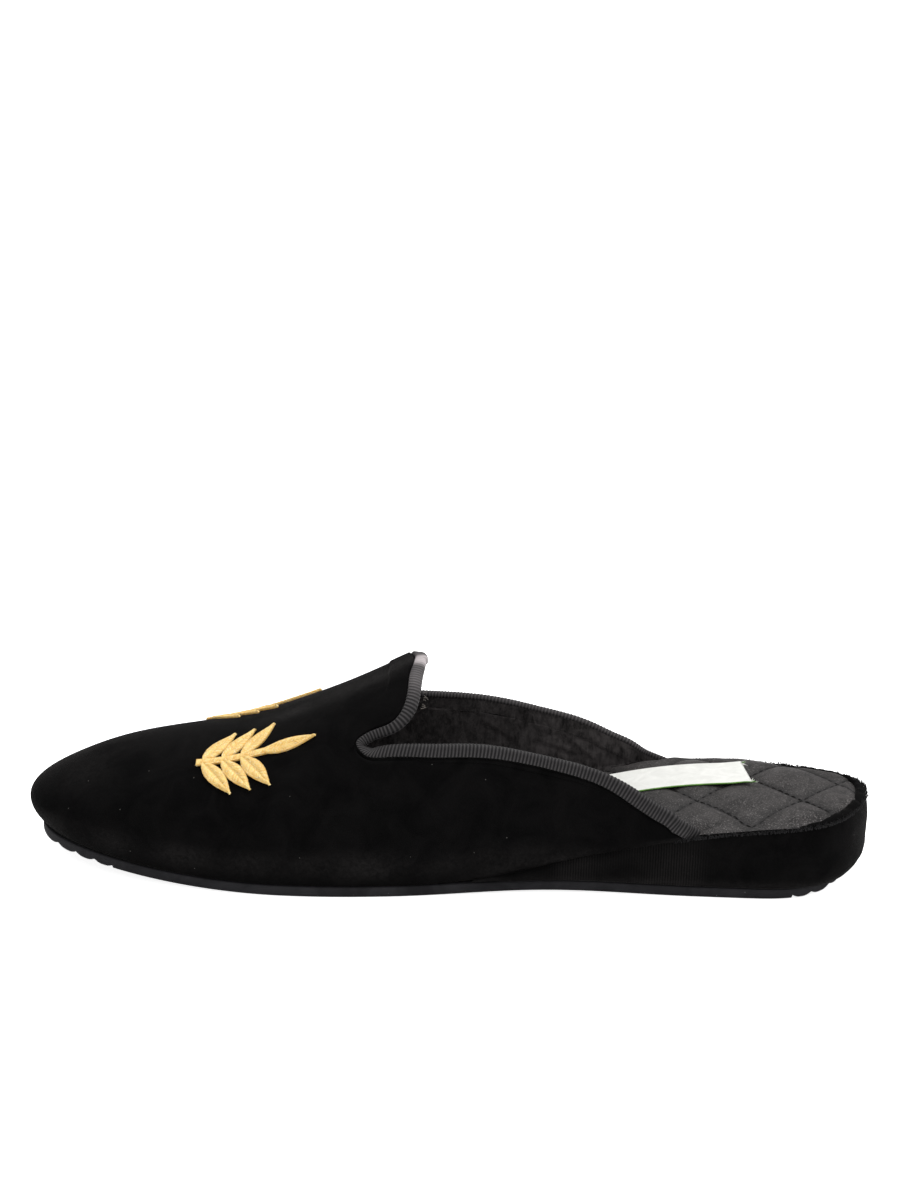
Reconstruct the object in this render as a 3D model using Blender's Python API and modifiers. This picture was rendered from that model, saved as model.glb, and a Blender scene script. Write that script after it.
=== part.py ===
"""A backless velvet slipper for the right foot: a tongued upper with a grosgrain binding, a quilted
sock, a velvet-covered heel wedge and a thin rubber outsole.

The toe points to -X, the medial side is -Y and the floor is z = 0. The pieces are worked out in the
shoe's own measure, from the toe of the upper backwards, and then centred over the floor.
"""

import math

import bmesh
import bpy
import numpy as np

MM = 0.001

# Sizes of the whole shoe
LENGTH = 252 * MM  # toe of the upper to the back of the heel
BALL_WIDTH = 84 * MM  # the upper's widest place, across the ball
INSTEP_HEIGHT = 64 * MM  # floor to the top of the tongue
GIRTH_HEIGHT = 18 * MM  # floor to the foremost point of the toe
CLEARANCE = 0.3 * MM  # between pieces that are glued or sewn together
SEAM_GAP = 0.6 * MM  # between the velvet's cut edge and the binding over it

# Outsole
SOLE_THICKNESS = 3.2 * MM
TOE_INSET = 4.0 * MM  # the outsole's tip behind the toe of the upper
HEEL_INSET = 6.0 * MM  # the outsole's end in front of the heel's back
SIDE_INSET = 3.1 * MM  # the outsole's side inside the upper's, at the ball
SOLE_EDGE = 0.7 * MM  # rounding of the outsole's lower edge
TOE_SPRING = 7.6 * MM
ARCH_LIFT = 0.9 * MM
HEEL_LIFT = 2.6 * MM
TREAD_PITCH = 5.8 * MM
TREAD_DEPTH = 0.9 * MM
TOE_TREADS = 4
HEEL_TREADS = 3

# Heel wedge
WEDGE_HEIGHT = 19.2 * MM  # its wall at the back of the heel
WRAP_INSET = 1.3 * MM  # its upper edge inside its widest line

# Upper and binding
WALL = 2.0 * MM
TUCK = 4.3 * MM  # the upper's lower edge inside its widest line, at the toe
FAN = 28 * MM  # how far behind the toe the ridge begins
BINDING_WIDTH = 4.5 * MM
BINDING_THICKNESS = 2.7 * MM

# Sock
SOCK_EDGE = 0.8 * MM
SOCK_PAD = 3.4 * MM

# Gold embroidery, one sprig on each side of the ridge
SPRIG_LENGTH = 35 * MM
STEM_WIDTH = 2.4 * MM
LEAF_LENGTH = 16 * MM
LEAF_WIDTH = 4.9 * MM
LEAF_PAIRS = 3
LEAF_ANGLE = math.radians(55)
EMBROIDERY_HEIGHT = 0.7 * MM

# Woven tape sewn to the sock
TAPE_LENGTH = 50 * MM
TAPE_WIDTH = 17 * MM
TAPE_THICKNESS = 0.5 * MM
TAPE_TURN = math.radians(-2.7)

# Where the shoe stands flat, as shares of its length
BALL_FLAT = (0.31, 0.43)
HEEL_FLAT = (0.79, 0.87)

# Widest line seen from above: along as a share of LENGTH, sides as shares of BALL_WIDTH
OUTLINE = (
    # along, medial, lateral
    (0.000, -0.060, -0.060),
    (0.020, -0.226, 0.107),
    (0.070, -0.339, 0.232),
    (0.150, -0.429, 0.363),
    (0.250, -0.482, 0.458),
    (0.360, -0.488, 0.506),
    (0.500, -0.429, 0.500),
    (0.620, -0.369, 0.458),
    (0.750, -0.351, 0.405),
    (0.870, -0.353, 0.372),
    (0.950, -0.308, 0.245),
    (1.000, 0.006, 0.006),
)

# Ridge over the toe, vamp and instep: height as a share of INSTEP_HEIGHT, sideways as a share of
# BALL_WIDTH. Behind the tongue it only shapes the walls.
RIDGE = (
    # along, height, sideways
    (0.000, 0.444, -0.060),
    (0.050, 0.481, -0.055),
    (0.100, 0.528, -0.050),
    (0.170, 0.575, -0.045),
    (0.240, 0.614, -0.042),
    (0.300, 0.689, -0.040),
    (0.360, 0.794, -0.040),
    (0.420, 0.914, -0.038),
    (0.460, 0.998, -0.035),
    (0.540, 1.085, -0.020),
    (0.700, 1.120, 0.000),
    (1.000, 1.120, 0.006),
)

# Side walls of the upper: the widest line's height as a share of GIRTH_HEIGHT, the tuck under it as
# a share of TUCK, and the wedge below it as shares of WEDGE_HEIGHT.
WALLS = (
    # along, girth, tuck, wedge medial, wedge lateral
    (0.000, 1.00, 1.00, 0.00, 0.00),
    (0.080, 0.93, 0.88, 0.00, 0.00),
    (0.200, 0.82, 0.81, 0.00, 0.00),
    (0.360, 0.78, 0.81, 0.00, 0.00),
    (0.460, 0.80, 0.79, 0.00, 0.00),
    (0.530, 0.83, 0.65, 0.05, 0.06),
    (0.590, 0.87, 0.50, 0.17, 0.21),
    (0.640, 0.92, 0.42, 0.33, 0.39),
    (0.690, 1.02, 0.34, 0.50, 0.60),
    (0.750, 1.13, 0.30, 0.69, 0.85),
    (0.800, 1.22, 0.30, 0.82, 0.94),
    (0.850, 1.28, 0.30, 0.91, 0.98),
    (0.900, 1.30, 0.30, 0.97, 1.01),
    (1.000, 1.30, 0.30, 1.02, 1.02),
)

# Seam between velvet and binding, from the tongue's top down to the wedge. Along is a share of
# LENGTH; climb runs from LOWEST_CLIMB at the lower edge over 0 at the widest line to 1 at the ridge.
LOWEST_CLIMB = -0.12
COLLAR = (
    # place, medial along, medial climb, lateral along, lateral climb
    ("tongue top", 0.452, 1.000, 0.452, 1.000),
    ("", 0.447, 0.860, 0.447, 0.860),
    ("tongue corner", 0.442, 0.665, 0.442, 0.655),
    ("", 0.430, 0.602, 0.430, 0.585),
    ("", 0.408, 0.599, 0.408, 0.570),
    ("notch", 0.387, 0.555, 0.387, 0.500),
    ("", 0.397, 0.467, 0.397, 0.400),
    ("", 0.425, 0.412, 0.425, 0.335),
    ("", 0.475, 0.358, 0.475, 0.272),
    ("", 0.533, 0.325, 0.533, 0.237),
    ("", 0.604, 0.267, 0.604, 0.184),
    ("", 0.678, 0.183, 0.666, 0.120),
    ("", 0.743, 0.045, 0.704, 0.056),
    ("", 0.764, -0.024, 0.727, -0.003),
    ("quarter end", 0.775, -0.115, 0.7415, -0.115),
)

# Wall of the wedge: height as a share of its own, inset as a share of WRAP_INSET
WEDGE_WALL = (
    (0.00, 1.6),
    (0.08, 0.7),
    (0.30, 0.1),
    (0.60, 0.0),
    (0.86, 0.3),
    (1.00, 1.0),
)

# Half section of the binding: distance from the seam as a share of BINDING_WIDTH, and half
# thickness as a share of BINDING_THICKNESS
BINDING_SECTION = ((0.0, 0.36), (0.35, 0.50), (0.75, 0.44), (0.94, 0.26), (1.0, 0.08))

FAN_END = 0.36  # share of LENGTH where the ribs stand square to the ridge
HEEL_FAN = 30 * MM
HEEL_FAN_START = 0.80
WEDGE_FRONT = 0.53  # share of LENGTH
SOCK_STEP = 0.04  # share of LENGTH in which the sock widens behind the upper
SPRIG_ALONG = 0.272  # share of LENGTH, its middle
SPRIG_MEDIAL = 19.5 * MM  # its stem from the ridge, measured on the upper
SPRIG_LATERAL = 24.5 * MM
TAPE_ALONG = 0.757
TAPE_ASIDE = 11.6 * MM
TIP_TURN = 0.05  # the first and last section of a loft, in radians of the outline's turn

SMALLEST = 1e-9

# Sections along each piece and points across it
VAMP_ROWS = 20
TONGUE_ROWS = 6
QUARTER_ROWS = 20
SIDE_COLUMNS = 6
CROWN_COLUMNS = 8
MITRE_STEPS = 2
STEEPEST_MITRE = 1.6
LOW_FINENESS = 1.3  # above 1, the columns are closer at the lower edge
NOTCH_FINENESS = 1.35  # above 1, the quarter's rows are closer at the notch
SOLE_STATIONS = 56
TREAD_STEPS = (0.0, 0.10, 0.28, 0.50, 0.72, 0.90)
SOCK_STATIONS = 40
SOCK_COLUMNS = 10
WEDGE_STATIONS = 32
WEDGE_COLUMNS = 5
LEAF_POINTS = 7
SPRIG_CUTS = 6
RIB_TURNS = 90


class Spline:
    """Smooth curve through values at rising places, with natural ends, or closed over a period."""

    def __init__(self, places, values, period=None):
        self.places = np.array(places, float)
        self.values = np.array(values, float)
        self.period = period
        if period:
            self.places = np.append(self.places, self.places[0] + period)
            self.values = np.append(self.values, self.values[0])
        count = len(self.places)
        step = np.diff(self.places)
        rise = np.diff(self.values) / step
        system = np.zeros((count, count))
        right = np.zeros(count)
        for i in range(1, count - 1):
            system[i, i - 1 : i + 2] = step[i - 1], 2 * (step[i - 1] + step[i]), step[i]
            right[i] = 6 * (rise[i] - rise[i - 1])
        if period:
            system[0, 0], system[0, -1] = 1, -1
            system[-1, [0, 1]] = 2 * step[0], step[0]
            system[-1, [-2, -1]] = step[-1], 2 * step[-1]
            right[-1] = 6 * (rise[0] - rise[-1])
        else:
            system[0, 0] = system[-1, -1] = 1
        self.bend = np.linalg.solve(system, right)

    def __call__(self, at):
        at = np.asarray(at, float)
        first = self.places[0]
        if self.period:
            at = first + np.mod(at - first, self.period)
        at = np.clip(at, first, self.places[-1])
        i = np.clip(np.searchsorted(self.places, at) - 1, 0, len(self.places) - 2)
        step = self.places[i + 1] - self.places[i]
        before = (self.places[i + 1] - at) / step
        after = 1 - before
        return (
            before * self.values[i]
            + after * self.values[i + 1]
            + ((before**3 - before) * self.bend[i] + (after**3 - after) * self.bend[i + 1])
            * step**2
            / 6
        )


def column(table, index):
    return [row[index] for row in table]


def turn_at(along):
    """The outline's turn in radians, 0 at the toe and pi at the heel, for a share of the length."""
    return np.arccos(np.clip(1 - 2 * np.asarray(along, float), -1, 1))


def along_at(turn):
    return (1 - np.cos(turn)) / 2


def outline_spline():
    """Sideways share of the widest line over the signed turn: medial is negative."""
    turns = turn_at(column(OUTLINE, 0))
    medial = [(-t, m) for t, m in zip(turns[1:-1], column(OUTLINE, 1)[1:-1])]
    lateral = list(zip(turns, column(OUTLINE, 2)))
    rows = sorted(medial + lateral)
    return Spline(column(rows, 0), column(rows, 1), 2 * math.pi)


outline = outline_spline()
ridge_height = Spline(column(RIDGE, 0), column(RIDGE, 1))
ridge_aside = Spline(column(RIDGE, 0), column(RIDGE, 2))
girth = Spline(column(WALLS, 0), column(WALLS, 1))
tuck = Spline(column(WALLS, 0), column(WALLS, 2))
WEDGE_SHARES = (
    (-1, Spline(column(WALLS, 0), column(WALLS, 3))),
    (1, Spline(column(WALLS, 0), column(WALLS, 4))),
)


def wedge_share(along, side):
    medial, lateral = (np.clip(spline(along), 0, None) for _, spline in WEDGE_SHARES)
    return np.where(np.asarray(side) < 0, medial, lateral)


def ground_rise(along):
    """Height of the outsole's underside: toe spring, ball, arch, heel and the lift behind it."""
    along = np.asarray(along, float)
    toe = TOE_SPRING * np.clip(1 - along / BALL_FLAT[0], 0, 1) ** 1.9
    arch_share = np.clip((along - BALL_FLAT[1]) / (HEEL_FLAT[0] - BALL_FLAT[1]), 0, 1)
    arch = ARCH_LIFT * np.sin(np.pi * arch_share) ** 2
    heel = HEEL_LIFT * np.clip((along - HEEL_FLAT[1]) / (1 - HEEL_FLAT[1]), 0, 1) ** 2
    return toe + arch + heel


def sole_top(x):
    return ground_rise(x / LENGTH) + SOLE_THICKNESS


def base_height(x, side):
    """Top of the outsole, or of the wedge where there is one, at the edge of that side."""
    return sole_top(x) + WEDGE_HEIGHT * wedge_share(x / LENGTH, side)


def edge_line(turn, side):
    """The widest line, and the ridge point that the rib from there runs to, seen from above."""
    along = along_at(turn)
    x = LENGTH * along
    y = BALL_WIDTH * outline(side * turn)
    ridge_x = x + FAN * np.clip(1 - along / FAN_END, 0, 1) ** 2
    ridge_y = BALL_WIDTH * ridge_aside(ridge_x / LENGTH)
    return x, y, ridge_x, ridge_y


def upper_point(turn, side, climb):
    """Point of the upper's outer face for a turn of the outline and a climb up its rib."""
    turn, climb = np.broadcast_arrays(np.asarray(turn, float), np.asarray(climb, float))
    x, y, ridge_x, ridge_y = edge_line(turn, side)
    along = x / LENGTH
    reach = np.hypot(x - ridge_x, y - ridge_y)
    low = np.arccos(np.clip(1 - TUCK * tuck(along) / reach, -1, 1))
    angle = np.where(climb < 0, climb / -LOWEST_CLIMB * low, climb * math.pi / 2)
    share = np.cos(angle) ** np.where(climb < 0, 1.0, 0.92)
    px = ridge_x + (x - ridge_x) * share
    py = ridge_y + (y - ridge_y) * share
    widest = GIRTH_HEIGHT * girth(along)
    lowest = base_height(x, side) + CLEARANCE
    above = widest + (INSTEP_HEIGHT * ridge_height(px / LENGTH) - widest) * np.sin(
        np.maximum(angle, 0)
    )
    below = widest - (widest - lowest) * np.sin(np.maximum(-angle, 0)) / np.sin(low)
    return np.stack([px, py, np.where(climb < 0, below, above)], axis=-1)


def upper_normal(turn, side, climb):
    """Unit normal of the outer face, pointing out of the shoe."""
    step = 1e-3
    climb = np.clip(climb, LOWEST_CLIMB + step, 1 - step)
    across = upper_point(turn, side, climb + step) - upper_point(turn, side, climb - step)
    forward = upper_point(turn + step, side, climb) - upper_point(turn - step, side, climb)
    normal = np.cross(forward, across) * -side
    return normal / np.linalg.norm(normal, axis=-1, keepdims=True)


def collar_row(place):
    """Row of the collar's table with that name."""
    return column(COLLAR, 0).index(place)


def collar_curve(side):
    """The seam of the binding as (turn, climb) over 0 at the tongue's top to 1 at the wedge."""
    first = 1 if side < 0 else 3
    turns = turn_at(column(COLLAR, first))
    climbs = np.array(column(COLLAR, first + 1))
    points = upper_point(turns, side, climbs)
    steps = np.linalg.norm(np.diff(points, axis=0), axis=1)
    mirrored = turns[1] + 0.0, 2 - climbs[1]
    places = np.concatenate([[-steps[0]], np.concatenate([[0], np.cumsum(steps)])])
    total = places[-1]
    turn_line = Spline(places / total, np.concatenate([[mirrored[0]], turns]))
    climb_line = Spline(places / total, np.concatenate([[mirrored[1]], climbs]))
    return turn_line, climb_line, places[1:] / total


def new_object(name, mesh_builder, material, closed=True):
    mesh = bpy.data.meshes.new(name)
    bm = bmesh.new()
    mesh_builder(bm)
    bmesh.ops.remove_doubles(bm, verts=bm.verts, dist=1e-6)
    if closed:
        bmesh.ops.recalc_face_normals(bm, faces=bm.faces)
    bm.to_mesh(mesh)
    bm.free()
    mesh.materials.append(material)
    mesh.shade_smooth()
    mesh.set_sharp_from_angle(angle=math.radians(40))
    obj = bpy.data.objects.new(name, mesh)
    return obj


def add_grid(bm, points, side):
    """Faces over a grid of points, rows by columns, facing out of the shoe on that side."""
    rows, columns = points.shape[:2]
    verts = [[bm.verts.new(points[i, j]) for j in range(columns)] for i in range(rows)]
    for i in range(rows - 1):
        for j in range(columns - 1):
            corners = verts[i][j], verts[i + 1][j], verts[i + 1][j + 1], verts[i][j + 1]
            bm.faces.new(corners[:: -side])


def loft(bm, loops):
    """A closed body through loops of equally many points, with its two ends capped."""
    rings = [[bm.verts.new(point) for point in loop] for loop in loops]
    count = len(rings[0])
    for before, after in zip(rings, rings[1:]):
        for j in range(count):
            k = (j + 1) % count
            bm.faces.new((before[j], after[j], after[k], before[k]))
    bm.faces.new(rings[0])
    bm.faces.new(rings[-1])


def seam_places(side):
    """Where the upper's columns meet the seam: across the tongue, down its side, along the quarter."""
    places = collar_curve(side)[2]
    notch, corner = places[collar_row("notch")], places[collar_row("tongue corner")]
    across = corner * (1 - np.linspace(0, 1, CROWN_COLUMNS + 1))
    beside = notch + (corner - notch) * np.linspace(0, 1, TONGUE_ROWS + 1)
    quarter = notch + (1 - notch) * np.linspace(0, 1, QUARTER_ROWS + 1) ** NOTCH_FINENESS
    return across, beside, quarter


def upper_patches(side):
    """Grids of (turn, climb) that cover one side of the upper: vamp, tongue and quarter."""
    turn_line, climb_line, places = collar_curve(side)
    across, beside, along_quarter = seam_places(side)
    notch, corner = places[collar_row("notch")], places[collar_row("tongue corner")]
    notch_turn, notch_climb = turn_line(notch), climb_line(notch)
    notch_row = COLLAR[collar_row("notch")]
    middle_climb = (notch_row[2] + notch_row[4]) / 2

    low_share = np.linspace(0, 1, SIDE_COLUMNS + 1)[None, :] ** LOW_FINENESS
    high_share = np.linspace(0, 1, CROWN_COLUMNS + 1)[None, :]
    row_share = np.linspace(0, 1, VAMP_ROWS + 1)[:, None]
    split = middle_climb + (notch_climb - middle_climb) * row_share
    low = LOWEST_CLIMB + (split - LOWEST_CLIMB) * low_share
    high = split + (1 - split) * high_share
    climbs = np.concatenate([low, high[:, 1:]], axis=1)
    turns = np.broadcast_to(notch_turn * row_share, climbs.shape)
    vamp = turns, climbs

    edge = along_quarter[:, None]
    down = (edge - notch) / (1 - notch)
    edge_turn, edge_climb = turn_line(edge), climb_line(edge)
    foot_turn = notch_turn + (turn_line(1.0) - notch_turn) * down
    quarter = (
        foot_turn + (edge_turn - foot_turn) * low_share,
        LOWEST_CLIMB + (edge_climb - LOWEST_CLIMB) * low_share,
    )

    back = np.linspace(0, 1, TONGUE_ROWS + 1)[:, None]
    side_edge = beside[:, None]
    top_edge = across[None, :]
    top_turn = turn_line(0.0)
    tongue = []
    for line, at_notch, on_ridge in (
        (turn_line, np.full_like(high_share, notch_turn), notch_turn + (top_turn - notch_turn) * back),
        (climb_line, notch_climb + (1 - notch_climb) * high_share, np.ones_like(back)),
    ):
        sides = line(side_edge) * (1 - high_share) + on_ridge * high_share
        ends = at_notch * (1 - back) + line(top_edge) * back
        corners = (
            at_notch[:, :1] * (1 - high_share) * (1 - back)
            + at_notch[:, -1:] * high_share * (1 - back)
            + line(corner) * (1 - high_share) * back
            + on_ridge[-1:] * high_share * back
        )
        tongue.append(sides + ends - corners)
    return vamp, tuple(tongue), quarter


def build_upper(material):
    def surface(bm):
        for side in (-1, 1):
            for turns, climbs in upper_patches(side):
                add_grid(bm, upper_point(turns, side, climbs), side)

    upper = new_object("upper", surface, material, closed=False)
    wall = upper.modifiers.new("Wall", "SOLIDIFY")
    wall.thickness = WALL
    wall.offset = -1
    wall.use_even_offset = True
    wall.use_rim = True
    return upper


def binding_frames():
    """Seam points in the middle of the wall, with tangent, normal and the way into the opening."""
    halves = []
    for side in (-1, 1):
        turn_line, climb_line, _ = collar_curve(side)
        places = np.unique(np.concatenate(seam_places(side)).round(9))
        turns, climbs = turn_line(places), np.minimum(climb_line(places), 1)
        points = upper_point(turns, side, climbs)
        normals = upper_normal(turns, side, climbs)
        normals[:, 2] = np.maximum(normals[:, 2], 0)
        normals /= np.linalg.norm(normals, axis=1, keepdims=True)
        halves.append((points - normals * WALL / 2, normals))
    medial, lateral = halves
    points = np.concatenate([medial[0][::-1], lateral[0][1:]])
    normals = np.concatenate([medial[1][::-1], lateral[1][1:]])
    middle = len(places) - 1
    normals[middle] = (normals[middle - 1] + normals[middle + 1]) / 2
    steps = np.diff(points, axis=0)
    steps /= np.linalg.norm(steps, axis=1, keepdims=True)
    tangents = np.concatenate([steps[:1], steps[1:] + steps[:-1], steps[-1:]])
    tangents /= np.linalg.norm(tangents, axis=1, keepdims=True)
    inward = np.cross(tangents, normals)
    inward /= np.linalg.norm(inward, axis=1, keepdims=True)
    return points, tangents, normals, inward


def build_binding(material):
    points, tangents, normals, inward = binding_frames()
    half = [(SEAM_GAP + b * BINDING_WIDTH, h * BINDING_THICKNESS) for b, h in BINDING_SECTION]
    section = half + [(b, -h) for b, h in reversed(half)]
    count = len(points)
    loops = []
    for i, (point, tangent, normal, into) in enumerate(zip(points, tangents, normals, inward)):
        from_end = min(i, count - 1 - i)
        mitre = max(0.0, 1 - from_end / MITRE_STEPS)
        downhill = tangent if i > count / 2 else -tangent
        steep = max(-downhill[2], STEEPEST_MITRE)
        offsets = [into * b + normal * h for b, h in section]
        loops.append([point + step + downhill * (mitre * step[2] / steep) for step in offsets])
    return new_object("binding", lambda bm: loft(bm, loops), material)


def sole_edge(turn, side):
    """The outsole's outline from above, over its own turn."""
    x = TOE_INSET + (LENGTH - TOE_INSET - HEEL_INSET) * along_at(turn)
    y = (BALL_WIDTH - 2 * SIDE_INSET) * outline(side * turn)
    return x, y


def sole_turns():
    """Sections of the outsole: even ones, and those that a tread's groove needs."""
    sole_length = LENGTH - TOE_INSET - HEEL_INSET
    turns = set(np.linspace(TIP_TURN, math.pi - TIP_TURN, SOLE_STATIONS).round(6))
    grooves = [(i + share) * TREAD_PITCH for i in range(TOE_TREADS) for share in TREAD_STEPS]
    grooves += [
        sole_length - (i + share) * TREAD_PITCH for i in range(HEEL_TREADS) for share in TREAD_STEPS
    ]
    extra = [float(turn_at(place / sole_length)) for place in grooves]
    for turn in extra:
        if TIP_TURN < turn < math.pi - TIP_TURN:
            turns = {t for t in turns if abs(t - turn) > 0.012} | {turn}
    return sorted(turns)


def tread_rise(x):
    """Depth of the moulded grooves across the outsole's tip and end."""
    from_tip = x - TOE_INSET
    from_end = LENGTH - HEEL_INSET - x
    rise = 0.0
    for place, treads in ((from_tip, TOE_TREADS), (from_end, HEEL_TREADS)):
        if place < treads * TREAD_PITCH + SMALLEST:
            rise = TREAD_DEPTH * (1 - abs(math.sin(math.pi * place / TREAD_PITCH))) ** 1.5
    return rise


def build_outsole(material):
    loops = []
    for turn in sole_turns():
        x, medial = sole_edge(turn, -1)
        _, lateral = sole_edge(turn, 1)
        bottom = float(ground_rise(x / LENGTH)) + tread_rise(x)
        top = float(sole_top(x))
        half = (lateral - medial) / 2
        edge = min(SOLE_EDGE, half / 2)
        loops.append(
            [
                (x, medial + edge, bottom),
                (x, lateral - edge, bottom),
                (x, lateral - edge * 0.3, bottom + SOLE_EDGE * 0.5),
                (x, lateral, (bottom + top) / 2),
                (x, lateral - edge * 0.4, top),
                (x, medial + edge * 0.4, top),
                (x, medial, (bottom + top) / 2),
                (x, medial + edge * 0.3, bottom + SOLE_EDGE * 0.5),
            ]
        )
    return new_object("outsole", lambda bm: loft(bm, loops), material)


def inner_line(turn, side, inset):
    """A line inside the widest one, from above. Round the toe and heel it shrinks towards a centre."""
    x, y, toward_x, toward_y = edge_line(turn, side)
    along = x / LENGTH
    heel = np.clip((along - HEEL_FAN_START) / (1 - HEEL_FAN_START), 0, 1) ** 2
    toward_x = toward_x - HEEL_FAN * heel
    reach = np.hypot(x - toward_x, y - toward_y)
    share = 1 - inset / reach
    return toward_x + (x - toward_x) * share, toward_y + (y - toward_y) * share


def build_wedge(material):
    loops = []
    for turn in np.linspace(turn_at(WEDGE_FRONT), math.pi - TIP_TURN, WEDGE_STATIONS):
        walls = {}
        for side in (-1, 1):
            x_edge = LENGTH * along_at(turn)
            low = float(sole_top(x_edge)) + CLEARANCE
            high = float(base_height(x_edge, side))
            walls[side] = [
                (*inner_line(turn, side, inset * WRAP_INSET), low + (high - low) * share)
                for share, inset in WEDGE_WALL
            ]
        medial, lateral = np.array(walls[-1]), np.array(walls[1])
        across = np.linspace(0, 1, WEDGE_COLUMNS + 1)[1:-1, None]
        top = medial[-1] + (lateral[-1] - medial[-1]) * across
        bottom = lateral[0] + (medial[0] - lateral[0]) * across
        loops.append(np.concatenate([medial, top, lateral[::-1], bottom]))
    return new_object("heel_wedge", lambda bm: loft(bm, loops), material)


def upper_end(side):
    """Share of the length where the upper and its binding end on that side."""
    return COLLAR[-1][1 if side < 0 else 3] + 1.6 * BINDING_WIDTH / LENGTH


def sock_inset(turn, side):
    """The sock's edge inside the widest line: inside the upper, and behind it out to the wedge's edge."""
    along = along_at(turn)
    inside = TUCK * tuck(along) + WALL + 2 * CLEARANCE
    outside = WRAP_INSET + CLEARANCE
    behind = np.clip((along - upper_end(side)) / SOCK_STEP, 0, 1)
    behind = behind * behind * (3 - 2 * behind)
    return inside + (outside - inside) * behind


def sock_across(turn):
    """The sock's underside and top over one section, from the medial to the lateral edge."""
    medial = inner_line(turn, -1, sock_inset(turn, -1))
    lateral = inner_line(turn, 1, sock_inset(turn, 1))
    share = np.linspace(0, 1, SOCK_COLUMNS + 1)
    share = (1 - np.cos(np.pi * share)) / 2
    x = medial[0] + (lateral[0] - medial[0]) * share
    y = medial[1] + (lateral[1] - medial[1]) * share
    low = base_height(x, -1)
    bottom = low + (base_height(x, 1) - low) * share + CLEARANCE
    pad = SOCK_PAD * (1 - np.abs(2 * share - 1) ** 4) * math.sin(turn) ** 0.5
    top = bottom + SOCK_EDGE + pad
    return x, y, bottom, top


def build_sock(material):
    loops = []
    for turn in np.linspace(2 * TIP_TURN, math.pi - TIP_TURN, SOCK_STATIONS):
        x, y, bottom, top = sock_across(turn)
        under = np.stack([x, y, bottom], axis=1)
        over = np.stack([x, y, top], axis=1)
        loops.append(np.concatenate([under, over[::-1]]))
    return new_object("quilted_sock", lambda bm: loft(bm, loops), material)


def sock_top(x, y):
    """Height of the sock's top at a place seen from above."""
    turn = turn_at(x / LENGTH)
    row_x, row_y, _, top = sock_across(turn)
    return float(np.interp(y, row_y, top))


def build_tape(material):
    """Plain woven tape, laid along the heel seat."""
    loops = []
    centre_x, centre_y = TAPE_ALONG * LENGTH, TAPE_ASIDE
    for a in np.linspace(-0.5, 0.5, 15):
        row = []
        for b in np.linspace(-0.5, 0.5, 5):
            x = centre_x + a * TAPE_LENGTH * math.cos(TAPE_TURN) - b * TAPE_WIDTH * math.sin(TAPE_TURN)
            y = centre_y + a * TAPE_LENGTH * math.sin(TAPE_TURN) + b * TAPE_WIDTH * math.cos(TAPE_TURN)
            row.append((x, y, sock_top(x, y) + CLEARANCE))
        over = [(x, y, z + TAPE_THICKNESS) for x, y, z in row]
        loops.append(row + over[::-1])
    return new_object("woven_tape", lambda bm: loft(bm, loops), material)


def leaf_outline(length, width, base, angle):
    """A pointed leaf from its base, as points round it."""
    share = np.linspace(0, 1, LEAF_POINTS)
    half = width / 2 * np.sin(np.pi * share**0.85)
    right = np.stack([length * share, half], axis=1)
    left = np.stack([length * share, -half], axis=1)[::-1][1:-1]
    points = np.concatenate([right, left])
    turn = np.array([[math.cos(angle), -math.sin(angle)], [math.sin(angle), math.cos(angle)]])
    return points @ turn.T + np.array(base)


def sprig_outlines():
    """Stem and leaves of one sprig, lying along +x with its middle at the origin."""
    start = -SPRIG_LENGTH / 2
    tip_base = SPRIG_LENGTH / 2 - LEAF_LENGTH
    half = STEM_WIDTH / 2
    stem_end = tip_base + LEAF_LENGTH / 4
    outlines = [np.array([(start, -half), (stem_end, -half), (stem_end, half), (start, half)])]
    outlines.append(leaf_outline(LEAF_LENGTH, LEAF_WIDTH, (tip_base, 0), 0))
    first = start + LEAF_WIDTH / 3
    spacing = (tip_base - first) / LEAF_PAIRS
    for pair in range(LEAF_PAIRS):
        for hand in (-1, 1):
            base = (first + spacing * pair, 0)
            outlines.append(leaf_outline(LEAF_LENGTH, LEAF_WIDTH, base, hand * LEAF_ANGLE))
    return outlines


def flat_prism(name, points, height):
    """An upright prism over a flat outline."""
    def builder(bm):
        lower = [bm.verts.new((x, y, 0)) for x, y in points]
        face = bm.faces.new(lower)
        made = bmesh.ops.extrude_face_region(bm, geom=[face])["geom"]
        verts = [item for item in made if isinstance(item, bmesh.types.BMVert)]
        bmesh.ops.translate(bm, vec=(0, 0, height), verts=verts)

    return new_object(name, builder, None)


def on_upper(x, aside, side, rise):
    """Places on the upper at x and at a distance down from the ridge, lifted off it by rise."""
    turns = np.linspace(0.02, 0.6, RIB_TURNS) * math.pi
    climbs = np.linspace(1, 0, 33)
    table = np.empty((len(turns), len(aside)))
    for row, turn in zip(table, turns):
        rib = upper_point(turn, side, climbs)
        lengths = np.cumsum(np.linalg.norm(np.diff(rib, axis=0, prepend=rib[:1]), axis=1))
        row[:] = np.interp(aside, lengths, climbs)
    along = upper_point(turns[:, None], side, table)[..., 0]
    turn = np.array([np.interp(x[i], along[:, i], turns) for i in range(len(x))])
    climb = np.array([np.interp(turn[i], turns, table[:, i]) for i in range(len(x))])
    return upper_point(turn, side, climb) + upper_normal(turn, side, climb) * rise[:, None]


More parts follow.
